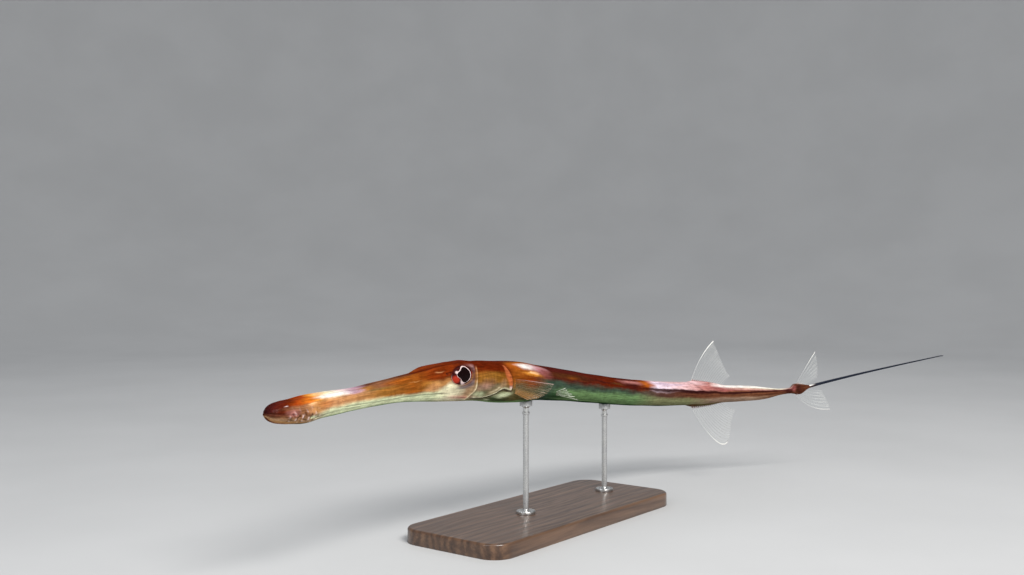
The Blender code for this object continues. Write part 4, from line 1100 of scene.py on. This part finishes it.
def medianFin(name, upper, form, material):
    # dorsal or anal fin: long curved front rays, shorter ones behind
    u, length, base, tailward, out = uprightRoots(upper, form)
    notches = form["scallop"] * np.sin(np.pi * u * (form["rays"] - 1)) ** 2
    length = length * (1 - notches) + finForm["least"]

    def direction(v):
        hook = form["hook"] * v ** 12 * (1 - u) ** 3
        return tilted(tailward, out, form["rise"] - 20 * u - form["curl"] * v ** 1.5 * (1 - 0.4 * u) - hook)

    makeFin(name, base, length, direction, form, material)


def tailLobe(name, upper, form, material):
    u, length, base, tailward, out = uprightRoots(upper, form, whipStart)

    def direction(v):
        return tilted(tailward, out, form["rise"] * (1 - 0.7 * u) - form["curl"] * v * (1 - 0.8 * u))

    makeFin(name, base, length + finForm["least"], direction, form, material)


def pairedFin(name, side, form, material):
    # a small fan that leaves the side steeply and turns back along it
    u = np.linspace(0, 1, (form["rays"] - 1) * finForm["perRay"] + 1)
    angle = form["angles"][0] + (form["angles"][1] - form["angles"][0]) * u
    s = form["station"] + finForm["pairedRun"] * u
    base = bodyPoint(s, angle if side > 0 else 180 - angle, -finForm["pairedSunk"])
    _, tailward, left, up = frameAt(s)
    length = bodyLength * (form["lengths"][0] + (form["lengths"][1] - form["lengths"][0]) * u ** 1.5)
    notches = form["scallop"] * np.abs(np.sin(np.pi * u * (form["rays"] - 1)))
    length = length * (1 - notches) + finForm["pairedLeast"]

    def direction(v):
        steep = (finForm["steep"] - form["splay"]) * (1 - ease(v, 0.0, finForm["steepTo"]))
        lean = math.radians(form["splay"] + steep)
        drop = form["drop"][0] + (form["drop"][1] - form["drop"][0]) * u ** form["fall"]
        return math.cos(lean) * tilted(tailward, -up, drop) + math.sin(lean) * side * left

    makeFin(name, base, length, direction, form, material)


fins = {
    "dorsal": {"start": 0.804, "end": 0.859, "longest": 0.0750, "rear": 0.28, "fall": 1.3, "rise": 70,
               "curl": 30, "hook": 0, "rays": 16, "ray": 0.0008, "fork": 0.21, "scallop": 0.018},
    "anal": {"start": 0.806, "end": 0.861, "longest": 0.1010, "rear": 0.28, "fall": 1.3, "rise": 55,
             "curl": 29, "hook": 109, "rays": 16, "ray": 0.0008, "fork": 0.21, "scallop": 0.018},
    "upperLobe": {"start": 0.9900, "end": 1.0050, "longest": 0.060, "rear": 0.40, "fall": 1.2, "rise": 46,
                  "curl": 3, "rays": 7, "ray": 0.0006, "fork": 0.21},
    "lowerLobe": {"start": 0.9860, "end": 1.0050, "longest": 0.0700, "rear": 0.40, "fall": 1.2, "rise": 64,
                  "curl": 56, "rays": 7, "ray": 0.0006, "fork": 0.21},
    "pectoral": {"station": 0.3710, "angles": (6, -30), "lengths": (0.054, 0.0185), "drop": (5, 26),
                 "fall": 1.3, "splay": 24, "rays": 11, "ray": 0.0005, "fork": 0.0, "scallop": 0.02},
    "pelvic": {"station": 0.4600, "angles": (-22, -36), "lengths": (0.0133, 0.0308), "drop": (-37, 11),
               "fall": 0.8, "splay": 42, "rays": 6, "ray": 0.0006, "fork": 0.0, "scallop": 0.24},
}
clearFin = finMaterial("clearFin", {
    "web": (0.50, 0.55, 0.55), "edge": (0.45, 0.45, 0.42), "ray": (0.78, 0.80, 0.78),
    "tint": pigments["rose"], "lead": pigments["white"], "webAlpha": 0.04, "rayAlpha": 0.18,
    "tintAlpha": 0.6, "leadAlpha": 0.90, "tintReach": 0.06, "tintAcross": (-1.0, -0.5), "leadWide": 0.035,
    "leadFrom": 0.35, "rayFrom": 0.35, "tipWhite": 0.10, "upperRays": 1.0})
goldFin = finMaterial("goldFin", {
    "web": (0.14, 0.13, 0.06), "edge": (0.23, 0.17, 0.09), "ray": (0.070, 0.034, 0.022),
    "tint": (0.38, 0.19, 0.055), "lead": (0.52, 0.34, 0.32), "webAlpha": 0.14, "rayAlpha": 0.72,
    "tintAlpha": 0.72, "leadAlpha": 0.75, "tintReach": 1.50, "tintAcross": (0.35, 0.75), "leadWide": 0.05,
    "leadFrom": 0.0, "rayFrom": 0.08, "tipWhite": 0.18, "upperRays": 0.35})
greenFin = finMaterial("greenFin", {
    "web": (0.30, 0.36, 0.26), "edge": pigments["olive"], "ray": (0.66, 0.74, 0.60),
    "tint": pigments["greyGreen"], "lead": pigments["white"], "webAlpha": 0.05, "rayAlpha": 0.60,
    "tintAlpha": 0.5, "leadAlpha": 0.40, "tintReach": 0.20, "tintAcross": (-1.0, -0.5), "leadWide": 0.03,
    "leadFrom": 0.6, "rayFrom": 0.20, "tipWhite": 0.70, "upperRays": 0.8})
medianFin("dorsal_fin", True, fins["dorsal"], clearFin)
medianFin("anal_fin", False, fins["anal"], clearFin)
tailLobe("tail_fin_upper", True, fins["upperLobe"], clearFin)
tailLobe("tail_fin_lower", False, fins["lowerLobe"], clearFin)
for side, word in ((1, "left"), (-1, "right")):
    pairedFin("pectoral_fin_" + word, side, fins["pectoral"], goldFin)
    pairedFin("pelvic_fin_" + word, side, fins["pelvic"], greenFin)
print("fins made")


# Whip

whip = {"from": 1.004, "length": 0.195, "radius": 0.0019, "taper": 0.68, "rings": 420, "around": 24,
        "waist": 0.16, "joints": 70, "jointDepth": 0.05, "blunt": 0.75, "bluntFrom": 0.992,
        "colours": ((0.0, "rust"), (0.035, "darkMaroon"), (0.09, "navy"), (0.8, "navy"), (1.0, "ink"))}


def makeWhip():
    # two fused rays carried along the axis: radius * (1 - taper * t^0.8), waisted between the rays,
    # and ringed at each joint
    tip = whipStart + whip["length"] / bodyLength
    t = np.linspace(0, 1, whip["rings"])[:, None]
    s = whip["from"] + (tip - whip["from"]) * t
    turn = np.arange(whip["around"])[None, :] * 2 * math.pi / whip["around"]
    along = np.clip((s - whipStart) / (tip - whipStart), 0, 1)
    radius = whip["radius"] * (1 - whip["taper"] * along ** 0.8)
    radius = radius * (1 - whip["waist"] * bump(np.abs(np.cos(turn)), 1.0, 0.25))
    radius = radius * (1 - whip["jointDepth"] * ease(np.cos(2 * np.pi * t * whip["joints"]), 0.7, 1))
    radius = radius * (1 - whip["blunt"] * ease(t, whip["bluntFrom"], 1.0))
    point, _, left, up = frameAt(s + 0 * turn)
    rings = point + (np.cos(turn) * radius)[..., None] * left + (np.sin(turn) * radius)[..., None] * up
    made = makeTube("tail_filament", rings, rings[0].mean(axis=0), rings[-1].mean(axis=0))
    facts = np.stack([t + 0 * turn, np.sin(turn) + 0 * t, np.cos(turn) + 0 * t], axis=-1).reshape(-1, 3)
    setValues(made, "whip", np.concatenate([facts, [(0, 0, 0), (1, 0, 0)]]))
    material, tree, shader = makeMaterial("darkWhip", **{"Roughness": 0.4, "Specular IOR Level": 0.15})
    parts = partsOf(tree, attribute(tree, "whip"))
    colour = rampOf(tree, parts["X"], [(at, pigments[word]) for at, word in whip["colours"]])
    # painted highlight: white along the top of the whip near its root
    pale = times(tree, fromTo(tree, parts["X"], 0.080, 0.035), fromTo(tree, parts["Y"], 0.15, 0.6))
    feed(shader, {"Base Color": painted(tree, colour, pale, 0.9, "white")})
    dress(made, material, "whip", "tail_filament_front", "tail_filament_rear")


makeWhip()
print("whip made")


# Stand

stand = {
    "base": (0.320, 0.125, 0.015), "corner": 0.022, "edge": 0.0025, "gap": 0.0003,
    "rod": 0.003, "foot": (0.010, 0.003), "saddle": (0.0065, 0.005), "arris": 0.001, "fillet": 0.0015,
    "flare": 0.003, "collar": ((0.0, 0.009), (0.0009, 0.0085), (0.0009, 0.0065), (0.0, 0.006)),
    "pad": (1.0, 0.98, 0.8, 0.55, 0.3), "padEdge": 0.0004, "around": 48, "chamfer": (0.0006, 0.0008),
    "stations": {"front": 0.425, "rear": 0.610},
}


def woodMaterial():
    made, tree, shader = makeMaterial("darkWalnut", **{"Coat Weight": 0.35, "Coat Roughness": 0.18})
    place = addNode(tree, "ShaderNodeTexCoord").outputs["Object"]
    bend = noiseOf(tree, scaled(tree, place, 6, 22, 22), Detail=2.0)["Color"]
    moved = vectorCalc(tree, "ADD", scaled(tree, bend, 0.02, 0.02, 0.02), place)
    grain = noiseOf(tree, scaled(tree, moved, 10, 260, 260), Detail=6.0, Roughness=0.65)["Fac"]
    figure = addNode(tree, "ShaderNodeTexWave", {"Vector": scaled(tree, moved, 3, 34, 34), "Scale": 1.0,
                                                 "Distortion": 5.0, "Detail": 3.0},
                     bands_direction="Y").outputs["Fac"]
    both = calc(tree, "ADD", times(tree, grain, 0.82), times(tree, figure, 0.18))
    colour = rampOf(tree, both, [(0.28, (0.030, 0.014, 0.008)), (0.50, (0.085, 0.042, 0.022)),
                                 (0.74, (0.170, 0.090, 0.048))])
    feed(shader, {"Base Color": colour, "Roughness": fromTo(tree, grain, 0.3, 0.7, 0.42, 0.30)})
    emboss(shader, grain, 0.25, 0.0004)
    return made


def steelMaterial():
    made, tree, shader = makeMaterial("brushedSteel", **{"Metallic": 1.0})
    place = addNode(tree, "ShaderNodeTexCoord").outputs["Object"]
    lines = noiseOf(tree, scaled(tree, place, 300, 300, 4000), Detail=3.0)["Fac"]
    marks = mottled(tree, place, 90.0, 4.0, 0.4, 0.7)
    feed(shader, {"Base Color": mixed(tree, marks, (0.62, 0.62, 0.61), (0.57, 0.57, 0.57)),
                  "Roughness": fromTo(tree, lines, 0.3, 0.7, 0.22, 0.38)})
    emboss(shader, lines, 0.12, 0.0002)
    return made


def makeBase():
    # a rounded rectangle carried up the profile of the edge: flat foot, rounded arris, flat top
    length, width, height = stand["base"]
    edge, corner = stand["edge"], stand["corner"]
    inwards, upwards = stand["chamfer"]
    turn = np.linspace(0, math.pi / 2, 10)
    inset = np.concatenate([[edge * 0.5, inwards, 0.0, 0.0], edge * (1 - np.cos(turn[1:])), [edge * 1.6]])
    level = np.concatenate([[0.0, 0.0, upwards, height - edge], height - edge + edge * np.sin(turn[1:]),
                            [height]])
    outline = []
    for quarter, (x, y) in enumerate(((1, 1), (-1, 1), (-1, -1), (1, -1))):
        bend = np.linspace(0, math.pi / 2, 16) + quarter * math.pi / 2
        outline.append(np.stack([x * (length / 2 - corner) + corner * np.cos(bend),
                                 y * (width / 2 - corner) + corner * np.sin(bend),
                                 np.cos(bend), np.sin(bend)], axis=-1))
    outline = np.concatenate(outline)
    rings = np.stack([outline[None, :, 0] - inset[:, None] * outline[None, :, 2],
                      outline[None, :, 1] - inset[:, None] * outline[None, :, 3],
                      np.broadcast_to(level[:, None], (len(level), len(outline)))], axis=-1)
    made = makeTube("stand_base", rings, (0, 0, 0), (0, 0, height))
    made.data.set_sharp_from_angle(angle=math.radians(50))
    dress(made, woodMaterial(), "stand_wood", "stand_base")


def bellyHeight(x, y, station):
    # height of the belly over points of the floor near a station
    s = station + np.linspace(-0.03, 0.03, 241)
    point, _, left, _ = frameAt(s)
    x, y = np.asarray(x)[..., None], np.asarray(y)[..., None]
    nearest = np.argmin((point[:, 0] - x) ** 2 + (point[:, 1] - y) ** 2, axis=-1)
    away = np.stack([x[..., 0], y[..., 0]], axis=-1) - point[nearest, :2]
    across = np.abs(np.sum(away * left[nearest, :2], axis=-1))
    share = np.minimum(across / (halfWidth(s[nearest]) * bodyLength), 1.0)
    power = squareDown(s[nearest])
    return point[nearest, 2] - depthBelow(s[nearest]) * bodyLength * (1 - share ** power) ** (1 / power)


def makeRod(word, material):
    # a turned profile of (radius, height) rings: flanged foot, rod, collar, flared saddle under the belly
    station = stand["stations"][word]
    x, y, _ = frameAt(station)[0]
    floor = stand["base"][2] + stand["gap"]
    lowest = float(bellyHeight(x, y, station)) - stand["gap"]
    footRadius, footHeight = stand["foot"]
    saddleRadius, saddleHeight = stand["saddle"]
    rod, arris, fillet, flare = stand["rod"], stand["arris"], stand["fillet"], stand["flare"]
    foot, saddle = floor + footHeight, lowest - saddleHeight
    bends = [(math.cos(a), math.sin(a)) for a in np.linspace(0, math.pi / 2, 6)]
    profile = [(footRadius, floor), (footRadius, foot - arris)]
    profile += [(footRadius - arris + arris * c, foot - arris + arris * d) for c, d in bends]
    profile += [(rod + fillet - fillet * d, foot + fillet - fillet * c) for c, d in bends]
    profile += [(rod + out, saddle - down) for out, down in stand["collar"]]
    profile += [(rod + (saddleRadius - rod) * (1 - c), saddle - flare + flare * d) for c, d in bends]
    profile = np.array(profile)
    turn = np.arange(stand["around"]) * 2 * math.pi / stand["around"]
    rings = np.stack([x + profile[:, 0, None] * np.cos(turn), y + profile[:, 0, None] * np.sin(turn),
                      np.broadcast_to(profile[:, 1, None], (len(profile), len(turn)))], axis=-1)
    radii = saddleRadius * np.array(stand["pad"])[:, None]
    rimX, rimY = x + radii * np.cos(turn), y + radii * np.sin(turn)
    top = np.stack([rimX, rimY, bellyHeight(rimX, rimY, station) - stand["gap"]], axis=-1)
    top[0, :, 2] -= stand["padEdge"]
    made = makeTube("stand_rod_" + word, np.concatenate([rings, top]), (x, y, floor), (x, y, lowest))
    made.data.set_sharp_from_angle(angle=math.radians(40))
    dress(made, material, "stand_steel", "stand_rod_" + word)


makeBase()
steel = steelMaterial()
for word in stand["stations"]:
    makeRod(word, steel)
print("stand made")


# Studio: a pale floor that curves up into a wall all round, soft lights, the photo's camera

studio = {
    "flat": 2.6, "bend": 2.4, "wall": 3.4, "rings": 12, "around": 96,
    "key": {"place": (-1.10, -2.10, 2.10), "size": (1.5, 1.0), "power": 118.0, "colour": (1.0, 0.98, 0.95)},
    "fill": {"place": (-2.6, 0.2, 1.5), "size": (1.6, 1.4), "power": 26.0, "colour": (0.95, 0.98, 1.0)},
    "back": {"place": (1.9, 1.6, 2.2), "size": (1.6, 1.2), "power": 8.0, "colour": (0.97, 0.98, 1.0)},
    "aim": (0.02, -0.02, 0.14), "sky": (0.90, 0.94, 1.0), "skyStrength": 0.34,
}
camera = {"place": (-0.9374, -0.6786, 0.2654), "heading": 37.7, "down": 0.91, "lens": 36 * 1100 / 1024}


def makeStudio():
    # the floor turned round the middle: flat out to a radius, a quarter circle up, then a wall
    bend = np.linspace(0, math.pi / 2, 24)
    flat, curve, around = studio["flat"], studio["bend"], studio["around"]
    radius = np.concatenate([np.linspace(0.02, flat, studio["rings"]), flat + curve * np.sin(bend[1:]),
                             [flat + curve]])
    level = np.concatenate([np.zeros(studio["rings"]), curve * (1 - np.cos(bend[1:])), [studio["wall"]]])
    turn = np.arange(around) * 2 * math.pi / around
    points = np.stack([radius[:, None] * np.cos(turn), radius[:, None] * np.sin(turn),
                       np.broadcast_to(level[:, None], (len(level), around))], axis=-1).reshape(-1, 3)
    i, j = np.meshgrid(np.arange(len(radius) - 1), np.arange(around), indexing="ij")
    k = (j + 1) % around
    quads = np.stack([i * around + j, (i + 1) * around + j, (i + 1) * around + k, i * around + k], axis=-1)
    middle = np.stack([np.full(around, len(points)), j[0], k[0]], axis=-1)
    floor = makeSurface("studio_floor", np.concatenate([points, [(0, 0, 0)]]), [quads.reshape(-1, 4), middle])
    material, tree, shader = makeMaterial("paleFloor", **{"Roughness": 0.75})
    place = addNode(tree, "ShaderNodeTexCoord").outputs["Object"]
    dust = mottled(tree, place, 3.0, 4.0, 0.3, 0.7)
    feed(shader, {"Base Color": mixed(tree, dust, (0.53, 0.535, 0.54), (0.56, 0.565, 0.57))})
    floor.data.materials.append(material)


def makeLight(name, form):
    lamp = bpy.data.lights.new(name, "AREA")
    lamp.shape = "RECTANGLE"
    lamp.size, lamp.size_y = form["size"]
    lamp.energy = form["power"]
    lamp.color = form["colour"]
    made = bpy.data.objects.new(name, lamp)
    bpy.context.scene.collection.objects.link(made)
    made.location = form["place"]
    way = np.array(studio["aim"]) - np.array(form["place"])
    flat = math.hypot(way[0], way[1])
    made.rotation_euler = (math.atan2(flat, -way[2]), 0.0, math.atan2(way[1], way[0]) - math.pi / 2)


def makeCamera():
    seen = bpy.data.cameras.new("camera")
    seen.sensor_width = 36
    seen.lens = camera["lens"]
    made = bpy.data.objects.new("camera", seen)
    bpy.context.scene.collection.objects.link(made)
    made.location = camera["place"]
    made.rotation_euler = (math.radians(90 - camera["down"]), 0.0, math.radians(camera["heading"] - 90))
    bpy.context.scene.camera = made


def makeWorld():
    world = bpy.data.worlds.new("studioSky")
    world.use_nodes = True
    back = world.node_tree.nodes["Background"]
    back.inputs["Color"].default_value = (*studio["sky"], 1.0)
    back.inputs["Strength"].default_value = studio["skyStrength"]
    bpy.context.scene.world = world


makeStudio()
for name in ("key", "fill", "back"):
    makeLight(name, studio[name])
makeCamera()
makeWorld()
bpy.context.scene.view_settings.view_transform = "Standard"
print("studio made")
